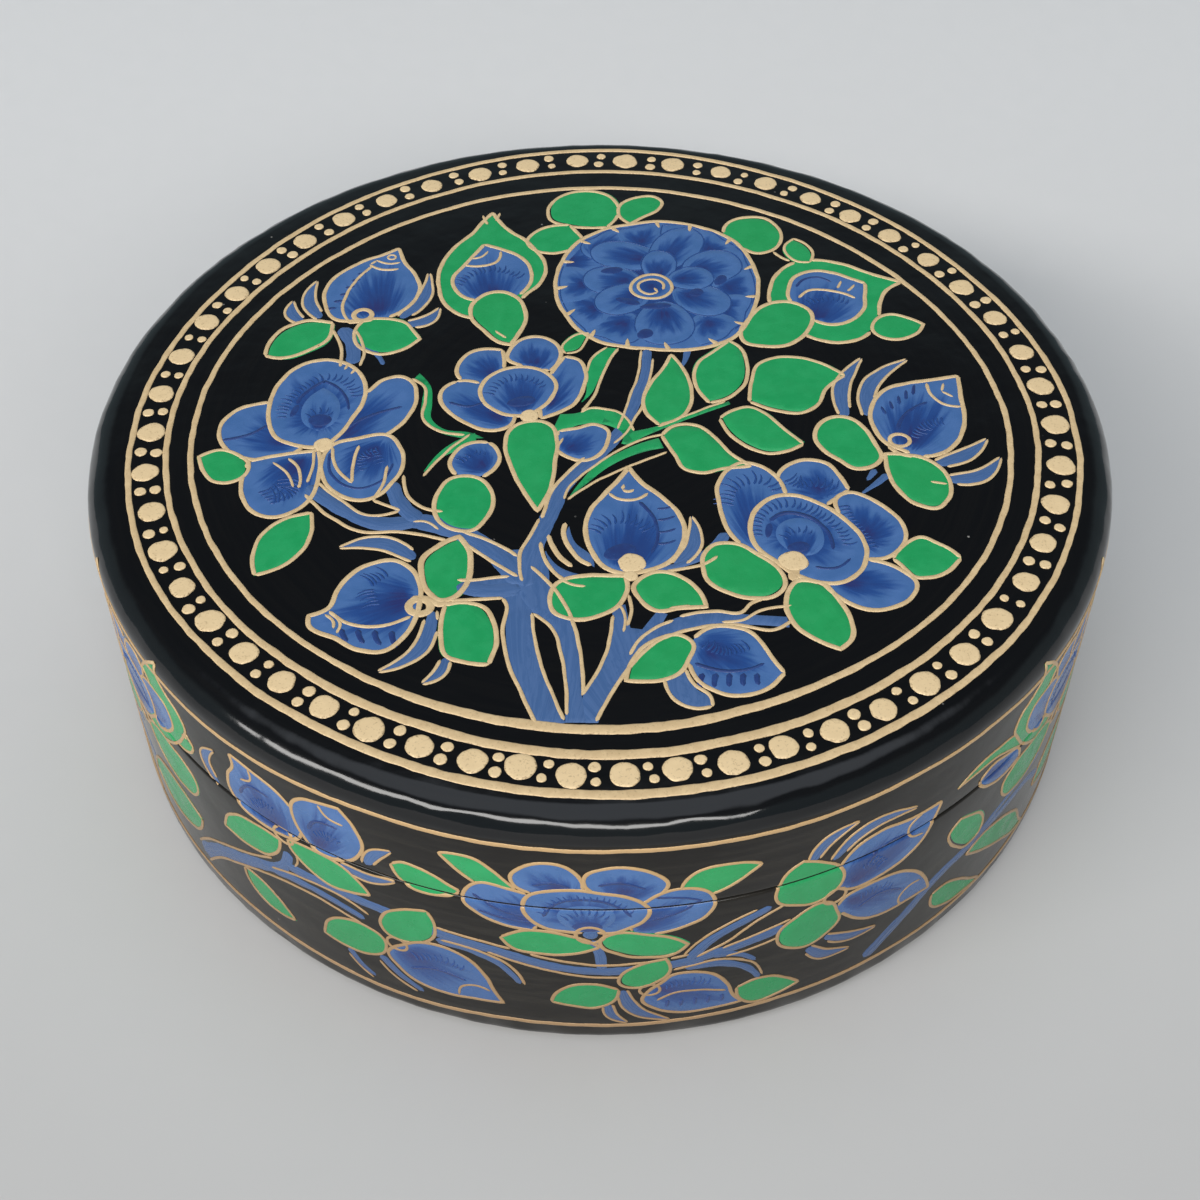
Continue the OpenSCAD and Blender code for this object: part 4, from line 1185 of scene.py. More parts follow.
def left_bloom(art):
    """The open bloom on the left, with its two leaves."""
    art.petal(-40.3, 2.2, -43, 1, -44.5, -1.5, -44.2, -4.5, -42.5, -6.7, -40, -7.7, -37.5, -7.6, -35, -6.2,
              -34, -3, -37, 2.6, foot=(-36.6, -4.4))
    art.ink(-44, -4.4, -41, -3.4, -38.6, -1.2, w=0.5)
    art.petal(-27.6, 4.7, -26, 6.6, -24, 7.2, -22.4, 5.8, -21.9, 3, -22.8, -0.5, -24.8, -3.2, -27.5, -4.8,
              -30, -5.2, -31.3, -4.8, -30, 0, foot=(-30, -3.6))
    art.ink(-31, -3.6, -28, -0.6, -23.5, 1.6, w=0.5)
    art.petal(-40.3, -8, -40.8, -11, -40.3, -14.2, -38.5, -16.7, -36.5, -17.3, -34.2, -16.3, -32.8, -14.5,
              -32.2, -12, -32.2, -8.5, -32.6, -6.2, -36, -6.8, foot=(-34.6, -8))
    art.comb(-38.8, -13.2, -37, -15.2, -34.6, -14, -33.8, -11, reach=3)
    art.petal(-24.8, -3.5, -23, -6, -22.6, -8.5, -23.5, -11.5, -25.3, -14, -27.7, -14.5, -30, -13.3,
              -31.5, -11, -32, -8, -31.3, -5.5, -28, -4, foot=(-26, -6))
    art.ink(-31.2, -6.6, -30.6, -10.4, -27.6, -12.6, -25, -11.4, -23.8, -8.4, w=0.42)
    art.comb(-24.6, -8.2, -26, -5.6, -27.8, -6.8, -27.4, -10, reach=1.4)
    art.petal(-32.2, -5.4, -30.5, -3.5, -29, 0, -28.1, 3, -28.3, 6, -30, 8.9, -33.5, 10.3, -35, 10,
              -37, 8.6, -38.8, 5.3, -39.3, 2, -39, -1, -37.7, -4, -35.3, -5.3, -33, -5.6, foot=(-33.4, 0.8),
              w=0.85)
    art.comb(-37, -0.6, -36.6, 2.4, -34.6, 5.4, -33, 6.4, -30.8, 5.4, -29.6, 3, reach=1.7)
    art.ink(-36.4, 0, -35.8, 3, -34.6, 5, -33.2, 6.2, -31.6, 5.2, -30.4, 3.4, -29.8, 1, w=0.5)
    art.patch("ink", *oval(-36.2, 0.8, 1.3, 0.5, 75), shift=0)
    art.patch("petals", -33.2, 5.2, -31.3, 3.3, -30.7, 1, -31.2, -1.4, -33, -2.9, -34.8, -1.7, -35.5, 0.7,
              -34.9, 3.2, foot=(-33, -4.5), shift=0)
    art.patch("ink", *oval(-33, -0.9, 1.2, 1.5, 90), shift=0)
    art.comb(-34.3, -0.6, -33, 0.2, -31.8, -0.4, reach=1.6)
    art.line(-36, -7.6, -34.8, -9, -34.2, -11, -34.3, -12.6, w=0.6)
    art.line(-37.6, -8.2, -35.9, -9.8, -34.8, -12.4, w=0.5)
    art.line(-31, -5.6, -30.3, -9, -28.2, -11.7, -28.3, -8, -28, -5.4, w=0.62)
    art.line(-33.2, -6, -33, -8.6, -33.4, -11.6, w=0.55)
    art.line(-30.6, 9.6, -31, 8.4, w=0.5)
    art.line(-29.6, 8.8, -30.2, 7.6, w=0.5)
    art.leaf(-46.3, -7.3, -44, -6.1, -42, -6.8, -40.4, -8.5, -40.6, -10.5, -42.3, -11.7, -44, -11.5,
             -45.5, -9.5)
    art.leaf(-32.4, -16.5, -35.5, -17.7, -37.4, -20, -38, -23, -37.4, -26.3, -34.5, -24.8, -32.7, -22.5,
             -32, -19.5, shift=0.4)
    art.knob(-32.2, -5.2, 1.2)


def middle_bloom(art):
    """The bloom under the rosette, and the green bands that run past it."""
    art.patch("leaves", -21.8, 7.9, -20.3, 5.5, -19.9, 2, -19.8, -0.5, -18.3, -2.3, -15, -3, -13.4, -4,
              -16.8, -3.8, -19.6, -2.4, -21, -0.4, -21.2, 3, -21.2, 5, -22.6, 6.6)
    art.line(-22.6, 6.8, -21, 5.2, -20.8, 2.6, -20.8, -0.6, -19, -2.6, -15.8, -3.4, w=0.6)
    art.patch("leaves", -14.6, -3, -17.6, -5.2, -20.6, -10.6, -18, -7.2, -14.4, -4.4)
    art.line(-15.2, -3.4, -17.4, -6, -20.2, -10.6, w=0.55)
    art.patch("leaves", -6, -0.3, -3, 1.5, -1, 4, 0, 7, 1, 10, 2.2, 12.6, 1, 12.8, -0.9, 11, -1.6, 8, -2, 3)
    art.line(-2.3, 0.6, -0.7, 3.6, 0.2, 7, 1.2, 10.4, 2.3, 12.6, w=0.6)
    art.line(-1.6, 8, -0.8, 11, 0.9, 12.8, w=0.5)
    art.leaf(-1.4, 15.6, -1.8, 14, -2.8, 12, -4.2, 11.6, -4.7, 12.6, -4, 14.2, -2.7, 15.4, w=0.5)
    art.patch("leaves", -5.6, -2.6, -4.7, 0.3, -2.4, 0.6, -1.4, 1.2, 0.8, 1.1, 2.3, 0.5, 1.9, -2.2,
              -0.2, -1.5, -2.4, -1.7, -4.7, -2.8)
    art.line(-2.2, 0.5, -1.4, 1.2, 0.8, 1.1, 2.3, 0.5, 3.4, -0.9, 4, -2.8, w=0.55)
    art.petal(-9.7, 9.3, -11.3, 10.5, -11, 12.5, -9.8, 14.2, -8, 14.9, -6, 14.1, -4.9, 12, -5.3, 9.5,
              -6.2, 8.3, foot=(-8, 9.4))
    art.petal(-12, 12.3, -14, 12.5, -16, 11.7, -17.2, 9.5, -17.1, 7.2, -16, 6.1, -14.2, 5.8, -12, 8,
              foot=(-13, 7.6))
    art.petal(-4.3, 11, -2.7, 10.5, -1.7, 8, -2, 5, -3.2, 2, -5, 0.5, -7, -0.5, -7, 4, foot=(-6, 2))
    art.petal(-17.2, 6.2, -18.7, 5, -19, 3, -17.8, 0.5, -15.5, -1.5, -13.5, -2.6, -12, -2.6, -10.5, -1.7,
              -10, 0, -12, 4, foot=(-11.6, -0.6))
    art.ink(-18, 2.4, -15.4, 1.6, -13.4, 2.8, w=0.42)
    art.petal(-9, 9, -6.5, 8, -5.2, 5.5, -5.8, 3, -7.3, 1, -8.5, 0.2, -11, 0.2, -13, 1.5, -14.3, 4,
              -13.8, 6.5, -12, 8.3, foot=(-9.4, 1.6), w=0.85)
    art.comb(-12.6, 3.4, -11.4, 5.8, -9, 6.2, -7, 4.6, reach=1.5)
    art.patch("ink", *oval(-9.4, 2.5, 1.9, 1, 15), shift=0)
    art.petal(-4.8, -2.8, -2.7, -2.3, -0.5, -1.6, 0.8, -2.5, 0.9, -4.7, 0, -6.8, -1.8, -7.9, -3.5, -7.4,
              -5, -6, foot=(-3.6, -6))
    art.petal(-13, -4.8, -15, -4.8, -16.8, -6.5, -17.2, -8.7, -16.2, -10.4, -14, -10.8, -12.3, -9.5,
              -11.6, -7, foot=(-13.4, -9))
    art.comb(-15.8, -8.6, -14.6, -7, -13, -7.4, reach=1.3)
    art.leaf(-8, -1, -10.5, -2.5, -11, -5, -10.2, -9, -8.7, -13, -7, -16.3, -5.6, -12.5, -5.2, -8, -5, -4.5,
             -6, -1.5, w=0.8, shift=0.1)
    art.line(-4.3, -4, -5, -5.6, w=0.5)
    art.leaf(-14, -10.8, -12.5, -12.5, -12, -15, -12.7, -17.5, -14, -19.3, -16, -19.3, -18, -17.8,
             -18.6, -15, -18.2, -13, -16.9, -10.9, w=0.8)
    art.knob(-8.3, -0.1, 1.1)


def centre_bud(art):
    """The upright bud above the trunk's fork, with its leaves."""
    sepal(art, 8.2, -24.8, 10.2, -22, 10.2, -17.2)
    art.patch("stems", -3.4, -18.5, -2.7, -21.2, -0.8, -23.5, -0.5, -25.2, -2, -23.9, -3.3, -21.7,
              -3.8, -19.6)
    art.patch("stems", -6.2, -21.7, -5.5, -23.5, -4.6, -24.8, -3.3, -25.7, -2.2, -26.1, -3.7, -27,
              -5, -25.5, -6, -23.2)
    art.line(-3.8, -18.2, -4, -19.8, -3.3, -22.1, -2, -24.1, -0.9, -24.8, w=0.85)
    art.line(-5.7, -20.1, -5.1, -22.1, -4.1, -23.9, -3, -25, w=0.85)
    art.line(-6.5, -21.2, -6.2, -23.2, -5.2, -25.5, -3.9, -27, w=0.7)
    art.stem(5.5, -25.4, 9, -24.6, 12, -22.6, 14, -19.8, w=(0.6, 1.5))
    art.line(5, -26, 8, -25.5, 11.6, -24.4, 12.8, -23.4, w=0.62)
    art.petal(3.3, -9, 4.7, -11.5, 7, -14, 8.7, -16.5, 9.4, -19, 9, -21.8, 7.5, -24.3, 5, -25.6, 2.5, -26,
              0.5, -25, -1, -22.3, -1.6, -19, -1, -16, 0.5, -13.5, 2.2, -11, foot=(2.8, -24.4), w=0.9)
    art.ink(4.4, -14.8, 6, -17.4, 6.4, -20.4, 5.6, -23, w=0.5)
    for y in (-15.4, -17.2, -19.2, -21):
        art.ink(6.4, y - 0.5, 7.4, y - 0.4, 8.4, y + 0.1, w=0.36)
    art.comb(0, -20.2, 1.6, -18.4, 3.4, -18.6, 5, -20, reach=2.2)
    art.patch("ink", *oval(2.2, -22.8, 2, 1.3, 20), shift=0)
    art.line(1, -13.4, 2.3, -14.4, 3.9, -14.5, 5.4, -13.4, w=0.62)
    art.line(2.7, -12, 2.5, -12.8, 3.2, -13.1, 3.8, -12.8, w=0.62)
    art.leaf(-3.5, -26.8, 0, -26.3, 2.8, -26.4, 3, -28.5, 1.8, -31, 0, -32.3, -2.7, -32.8, -4.8, -31.8,
             -5.3, -29.5, -4.4, -27.3, w=0.82)
    art.line(-4.2, -27, -3, -27.7, -1.6, -28, w=0.55)
    art.leaf(4, -27.2, 6.8, -25.8, 9, -26.8, 10.5, -28.5, 11.3, -31, 8.5, -31.2, 6, -31.6, 4.3, -30,
             3.6, -28, w=0.82)
    art.line(7.4, -31.2, 9.6, -30.8, w=0.5)
    art.knob(3.5, -24.4, 1.5)
    art.knob(3.3, -26.4, 0.8)


def right_bloom(art):
    """The open bloom on the lower right, with its three leaves."""
    art.petal(21, -13.3, 20.3, -10.7, 21.5, -8.8, 23.7, -7.8, 26, -8.3, 27.3, -10.3, 28.2, -12.8, 25, -15.6,
              foot=(25, -12.8))
    art.comb(20.8, -11.4, 22.4, -12.6, 24.4, -12.4, 26.4, -13.4, reach=2)
    art.petal(26.7, -16.2, 26.7, -14.2, 28.2, -13.3, 30, -13.9, 32, -15.7, 33.5, -17.8, 33.9, -20,
              33, -22.3, 31.3, -23.7, 29, -23.8, 28, -19, foot=(29.4, -20))
    art.comb(28, -15.4, 28.8, -18, 30, -20.4, 30.8, -22.4, reach=-2)
    art.petal(29, -24, 33.2, -26, 34.1, -27.2, 33.3, -29.7, 31, -31.2, 28.5, -31.4, 26, -30, 24, -27.6,
              26, -25, foot=(26.6, -27.4))
    art.petal(21, -13.5, 20.3, -11, 18.5, -8.9, 16.3, -8.3, 14.5, -9.6, 13.4, -12, 13.5, -16, 14.5, -20,
              16.5, -22.5, 18.5, -23.5, 20, -18, foot=(17.4, -20))
    art.comb(15, -15.6, 16.2, -12.4, 18.4, -12, 19.6, -13.4, reach=2.2)
    art.petal(22, -13.7, 25, -15.3, 27.5, -17.8, 29, -20.5, 29.2, -23, 28, -26, 25.5, -27.5, 23.5, -27.3,
              21, -26, 19, -24, 17, -21.5, 16.8, -18, 18, -15.3, 20, -13.8, foot=(22, -20.6), w=0.88)
    art.comb(18, -20.4, 18.6, -17.2, 21, -15.8, 23.6, -17, 26, -19.4, 26.8, -22, reach=1.7)
    art.ink(18.6, -20.6, 18.8, -18.2, 20.8, -16.6, 23.2, -17.2, 25.2, -19.6, 25.6, -22.4, w=0.66)
    art.patch("ink", *oval(18.7, -19.4, 1.3, 0.5, 80), shift=0)
    art.patch("petals", *oval(22.2, -20.4, 3.1, 2.7, 110), foot=(21.6, -24), shift=0)
    art.comb(20.6, -21, 22, -19.8, 23.4, -20.4, reach=1.3)
    art.patch("ink", *oval(21.8, -22, 1.4, 0.9, 10), shift=0)
    art.ink(23.4, -25, 25.6, -25.2, 27.4, -23.8, w=0.4)
    art.leaf(12.5, -21.7, 15, -21.5, 17.5, -23.3, 19.5, -25.5, 20, -27.8, 18.5, -29.5, 16, -29.7, 14, -29,
             11.8, -27.3, 11.2, -25, 11.5, -23, w=0.82)
    art.leaf(21, -27.3, 23.8, -27.5, 25.5, -30, 26.5, -33, 26.2, -35.8, 25, -37, 23, -36, 20.8, -34,
             19.8, -31, 20.3, -28.5, w=0.85, shift=0.4)
    art.leaf(32, -23.8, 34, -21.2, 35.5, -20.5, 37, -21.3, 38.5, -22.5, 39.4, -23.7, 38, -25.5, 36, -26.6,
             34, -26.5, 33.3, -25.5)
    art.line(21.1, -24.6, 21, -26, 20.9, -27.2, w=1.9)
    art.knob(21.1, -24.2, 1.65)
    art.ink(20.6, -24, 21.2, -24.7, 22, -24.4, w=0.4)


def right_bud(art):
    """The bud at the far right, with two pairs of sepals."""
    for flat in ((29, -0.2, 29, 5, 31.9, 10.6), (31.6, 0, 32.4, 5.4, 37.4, 10.4),
                 (38.7, -8.4, 42.4, -6.8, 45.1, -4.2), (39.6, -11, 43.2, -10.6, 46.2, -7.4)):
        sepal(art, *flat, w=1.7)
    art.petal(43.3, 7.3, 40, 6.6, 37, 6, 34.5, 5, 32.8, 3, 32, 0.5, 32.2, -2.5, 33.2, -4.7, 35, -6, 37, -7,
              39.5, -6.6, 41.5, -4.8, 42.7, -2, 43.1, 1, 43.1, 4, foot=(36.4, -4.4), w=0.85)
    art.ink(34.8, -2.6, 36.4, 0.6, 39, 2.4, w=0.55)
    for k in range(5):
        art.ink(33.8 + k * 0.9, 0.2 + k * 0.9, 33.4 + k * 1.1, 1.6 + k * 1, w=0.5)
    art.comb(36.2, -3.6, 38.2, -1, 40.8, -0.2, reach=-1.8)
    art.line(39.3, 5.9, 39.7, 3.6, 40.9, 2.1, 42.9, 1.6, w=0.62)
    art.line(41.4, 5.8, 41, 4.4, 42.2, 3.4, w=0.5)
    art.leaf(25.2, -4.5, 25.6, -2, 27.5, -0.3, 29.5, -0.5, 31, -2.2, 32, -5, 32.5, -7.5, 31, -9, 29.5, -9.3,
             27.5, -7.7, 25.9, -6, w=0.85)
    art.leaf(33, -6.7, 33, -9.5, 33.7, -12.5, 35.5, -15, 38, -15.7, 39.2, -14.5, 39.9, -12, 39.3, -9.5,
             37.5, -7.5, 35, -6.8, w=0.8)
    art.line(37.6, -11.4, 39.4, -11.8, w=0.5)
    art.knob(34.9, -4.4, 1.15, w=0.75)
    art.line(33.4, -5.4, 34.4, -6.6, 36.2, -7.2, w=0.8)


def lower_left_bud(art):
    """The bud at the lower left, between two leaves."""
    sepal(art, -20.2, -23.8, -24, -21.4, -28.6, -22.1, w=1.8)
    sepal(art, -17.8, -31.6, -19, -37.4, -22.8, -40.2, w=1.5)
    sepal(art, -15.9, -38.2, -16.6, -40.4, -18.2, -41.8, w=1.1)
    art.petal(-30.9, -32.3, -29, -31.3, -28.2, -28.5, -26.8, -26, -24.8, -24.5, -22.5, -24.1, -20.7, -25.2,
              -19.6, -27.2, -19.3, -31, -19.8, -33.5, -20.9, -35.7, -22.5, -37.3, -25, -37.2, -27.8, -35.5,
              -30.8, -33.6, foot=(-20.8, -30), w=0.85)
    art.comb(-23.4, -30.8, -24.4, -28, -22.6, -26.2, reach=2.2)
    art.line(-28.7, -31.7, -27, -33.2, -24.8, -33.9, -22.3, -33.6, -20, -32.4, w=0.66)
    for k in range(4):
        art.ink(-27.2 + k * 1.75, -34.2 - 0.1 * k, -26.9 + k * 1.75, -35.2 - 0.2 * k, -26.4 + k * 1.75,
                -36 - 0.25 * k, w=0.75)
    art.line(-29.2, -32.2, -28.3, -33, -28.1, -34.2, w=0.55)
    art.line(-28.2, -32.2, -27.4, -33.4, -27.6, -34.8, w=0.55)
    art.leaf(-15.5, -20.3, -17.8, -21.8, -19.3, -23.8, -19.2, -26.5, -18.2, -29, -17, -30, -15.5, -29.5,
             -14.3, -27.5, -14, -24.8, -14.3, -22.5, w=1)
    art.leaf(-16.5, -30.8, -14.5, -30.4, -12.5, -31, -11.2, -33.2, -10.8, -36, -11.5, -39.2, -14, -38.9,
             -16, -38, -16.7, -35.5, -16.8, -33, w=0.8)
    art.knob(-19.2, -31, 1.15, w=1.35)
    art.line(-20.2, -29.8, -18.4, -29.8, -17.2, -30.6, -16.2, -30.4, w=1.15)


def lower_right_bud(art):
    """The small bud low on the right, under a curled sepal."""
    art.patch("stems", 7, -39.8, 6.7, -41.5, 7.5, -43.8, 9.5, -45.1, 11.3, -44.8, 11.5, -43.8, 10, -42.6,
              8.8, -40.2)
    art.line(6.9, -39.4, 6.7, -41.6, 7.6, -43.9, 9.6, -45.1, 11.4, -44.8, 11.2, -43.4, 9.6, -41.8,
             8.8, -39.8, w=0.62)
    art.petal(9.2, -37.5, 9.8, -35.5, 11.3, -34.1, 13.3, -33.8, 15.2, -34.3, 16.8, -36, 17.8, -38.3,
              19, -40.3, 17.6, -42, 15, -43.3, 12.8, -43.2, 10.8, -42.2, 9.5, -40.3, foot=(11.4, -37),
              w=0.75)
    art.ink(9.8, -39, 12.6, -40, 15.4, -39.8, 17, -39, w=0.5)
    for k in range(5):
        art.ink(10.6 + k * 1.4, -40.4, 10.3 + k * 1.45, -41.5, 10.2 + k * 1.5, -42.4 + 0.1 * k, w=0.75)
    art.comb(10.4, -36.8, 13, -38, 16, -37, reach=1.6)
    art.leaf(2.7, -41.3, 3.2, -39, 4.5, -36.8, 6.5, -35.3, 8.5, -35, 9.7, -36, 9.2, -38.5, 8, -40.5,
             6, -41.3, w=0.75)


def wall_line(name, body, height, z):
    """A gold line right round the wall."""
    run = []
    for k in range(1201):
        s = 2 * math.pi * BOX_R * (k / 1200 + 0.5)
        d = Vector((math.cos(s / BOX_R), math.sin(s / BOX_R), z))
        run.append(Vector((s, height + noise.noise(d * 2.6) * 0.6 + noise.noise(d * 9) * 0.14)))
    verts, faces, brush = ribbon(run, (0.62, 0.62), "gold", 0, 0.37, ends=False)
    finish, slot = PAINTS["gold"]
    marks = {"brush": brush, "tone": [0.37] * len(verts), "edge": [b[1] for b in brush]}
    piece = new_piece(f"{body}_{name}", body, slot, [wall_point(*v) for v in verts], faces, [finish], marks)
    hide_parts(f"{body}_side_line")


def wall_bloom(art):
    """The open five-petalled bloom that sits across the seam."""
    art.leaf(-8.5, 29, -10.8, 31.7, -12.5, 33.2, -15, 33.4, -16.3, 33, -14.5, 30.8, -12.5, 29)
    art.leaf(8.2, 28.3, 8.5, 30.3, 9.8, 31.8, 12.5, 32.3, 15, 31.9, 16.5, 31.2, 14.5, 29.3, 12, 27.7,
             10, 27.5)
    art.petal(-6.8, 28.5, -8.7, 29.7, -9, 31, -8, 32.8, -6.2, 33.8, -3.8, 33.6, -2.8, 32.8, -1.8, 31,
              -2, 28.8, foot=(-4, 29.4))
    art.ink(-6.8, 30, -5, 30.6, -3, 30, w=0.4)
    art.petal(0, 28.8, -1.5, 30.5, -1.4, 32, 1, 33.4, 3.5, 33.2, 5.8, 31.8, 6.8, 30.2, 6, 28.4, 4, 27.2,
              foot=(2.4, 29))
    art.ink(-0.2, 30.4, 2, 30.8, 4.6, 29.6, w=0.4)
    art.petal(-9.5, 29, -12.5, 29.2, -14, 27, -14.1, 25.5, -13, 24, -10.5, 22.5, -7, 22, -6, 24, -7, 28,
              foot=(-6.8, 23))
    art.ink(-13, 27.2, -11, 25.4, -8.4, 24.4, -6.4, 24.4, w=0.42)
    art.ink(-12.6, 24.4, -10, 23.6, -7, 23.4, w=0.4)
    art.petal(4.8, 27.5, 6.5, 28.8, 9.8, 28.8, 11.3, 27.5, 11.8, 25.8, 11, 23.8, 9, 22.4, 6.5, 21.6,
              3.5, 21.7, 3, 24, foot=(4, 22.6))
    art.ink(10.4, 26.8, 8, 25, 5, 24, w=0.42)
    art.ink(5.6, 28, 8, 27.6, 10.2, 26.8, w=0.4)
    art.petal(-7.8, 26, -7.3, 28, -5, 29.2, -2, 29.5, 0.5, 29, 2.8, 28.3, 4.5, 27, 5.1, 25.8, 4.6, 24,
              3, 22.7, 1.5, 22, -0.5, 22, -3, 22, -5.5, 22.5, -7.2, 24, foot=(-1.4, 24.6), w=0.88)
    art.ink(-5.8, 24.6, -4.6, 27, -1.6, 28, 1.4, 27, 3.2, 24.8, w=0.5)
    art.comb(-5.6, 24.8, -4.4, 27, -1.6, 27.8, 1.4, 26.8, 3, 25, reach=1.1)
    art.patch("petals", *oval(-1.4, 24.6, 2.4, 3.1, 90), foot=(-1.3, 22.8), shift=0)
    art.patch("ink", *oval(-1.3, 23.1, 1.7, 1, 0), shift=0)
    art.comb(-3.4, 24, -1.4, 25.2, 0.8, 24.2, reach=1.3)
    art.leaf(-1.4, 20.6, -3, 21.3, -8, 21.7, -10.4, 20, -9.2, 18.2, -6, 17.6, -2.5, 18, 0, 19.3, w=0.8)
    art.leaf(0, 20.5, 1.5, 21.8, 5, 21.3, 8, 20, 9.2, 18.8, 8, 17.4, 5, 17, 2, 17.9, 0.2, 19.3, w=0.8)
    art.knob(-1, 21.6, 1.5, w=0.8)
    art.patch("stems", *oval(-1, 21.6, 0.8, 0.8, 0), shift=0)


def wall_sprig(art):
    """The small bud and leaves under the bloom."""
    art.leaf(7, 16.4, 4, 15.5, 2.3, 13.8, 2.2, 12, 3.5, 11.2, 6, 12, 7.5, 14)
    art.leaf(-5.2, 8.3, -4.5, 10.5, -2.5, 12, 0, 12, 2, 11, 1.5, 8.8, -0.5, 7.4, -3, 7.7)
    sepal(art, 2.4, 10.8, 3.6, 7, 7.6, 4.2, w=1.4)
    sepal(art, 0.9, 8, 1.2, 6, 3, 4.2, w=1.1)
    art.petal(5, 10, 6.7, 12, 7.5, 13, 9.5, 13.3, 12, 12.3, 13.8, 9.8, 14.5, 7.5, 15.7, 5.4, 12, 5.2,
              9, 5.3, 6, 6.7, 4.5, 9, foot=(6.4, 10.8))
    art.line(6.2, 8.4, 8.2, 9.6, 11, 9.4, 13.8, 8.4, w=0.6)
    for k in range(5):
        art.ink(7.4 + k * 1.5, 8.2 - 0.1 * k, 7.2 + k * 1.55, 6.8 - 0.1 * k, w=0.55)
    art.comb(7, 10.4, 9.4, 10.8, 12, 10.2, reach=1.5)
    art.leaf(15, 8.5, 17, 9.3, 19, 9, 21, 7.5, 22.5, 6, 20, 5, 17, 4.6, 15.5, 6)
    art.knob(5.3, 10.6, 1.1, w=0.62)


def wall_stems(art):
    """The stems of the band, which lie under everything else."""
    art.stem(-53, 5.8, -50, 9, -45.4, 12.6, -40.4, 15.6, -36.4, 18.4, -35.2, 22, w=(2.4, 1.5))
    art.stem(-40.4, 15.8, -36, 17, -32, 17.4, -26, 16.2, w=(1.6, 1))
    art.stem(-24.6, 10, -22.6, 7.4, -19.8, 5.4, w=(1.3, 0.8))
    art.stem(-28.8, 8.6, -27.6, 6.6, -25.8, 5, w=(1.1, 0.7))
    art.stem(-17.6, 16.8, -13.5, 16.2, -10.2, 14, -8.6, 11.2, w=(1.4, 0.7))
    art.line(-52, 5, -48.6, 9, -43, 12.8, -38, 15.2, -32.4, 16.2, -26.4, 15, w=0.66)
    art.line(-53.6, 7.4, -50.6, 10.6, -46, 13.8, -41.6, 16.4, -38, 18.8, w=0.62)
    art.line(-38.4, 16.8, -34, 18.4, -28, 18.6, -25.4, 17.4, w=0.62)
    art.line(-34.6, 20, -34, 21.2, -34.4, 23.2, w=0.5)
    art.line(-24.9, 8.8, -23.4, 6.8, -20.6, 5, w=0.55)
    art.line(-28.9, 7.6, -27.6, 5.8, -26, 4.6, w=0.5)
    art.stem(-36, 19.2, -28, 19.5, -22, 19.2, -17.5, 18.2, -10, 16.8, -5, 15.3, 0, 14.6, 5, 14.9, 9, 15.4,
             12, 16.2, 15, 16.9, 20, 18.2, w=(1.6, 1.4))
    art.stem(9.5, 15.8, 12, 19.3, 15, 21.2, 18, 22.8, w=(1.5, 1.1))
    art.stem(9, 14.4, 13, 14, 16, 12, 17.5, 9.5, w=(1.5, 0.7))
    art.stem(12, 16, 15.4, 14.8, 16.8, 13.2, w=(1.2, 0.6))
    art.stem(0.2, 15, 0, 17.6, -0.8, 20.6, w=(1.3, 1))
    art.line(-17, 17, -13.4, 16.6, -9.8, 14.8, -8, 11.2, w=0.66)
    art.line(-17.4, 19.2, -10, 18, -4.6, 16.6, 0, 15.8, 5, 16.1, 9.4, 16.8, w=0.66)
    art.line(-12, 16.6, -6, 14.6, 0, 13.4, 5, 13.6, 9, 14.4, 12.6, 14.9, 15.6, 13.8, w=0.62)
    art.line(10.2, 16.2, 13.6, 18.2, 16.8, 21, 19.4, 22.4, w=0.62)
    art.line(8.8, 16.8, 11, 19.8, 13.6, 21.6, 16.4, 23, w=0.55)
    art.line(13, 17, 16, 18, 20.4, 19.4, w=0.55)
    art.line(13.4, 15.4, 16.4, 15.8, 19.6, 16.8, w=0.55)
    art.line(17.8, 10, 16.6, 12.8, 14.4, 14.4, w=0.55)
    art.stem(31, 5, 36, 9.5, 41, 13.2, 46, 14.3, 52, 15, 58, 14.3, 61.5, 11.8, w=(1.9, 1.3))
    art.stem(46, 14.4, 50, 16.2, 54, 17, 60, 17, w=(1.2, 1))


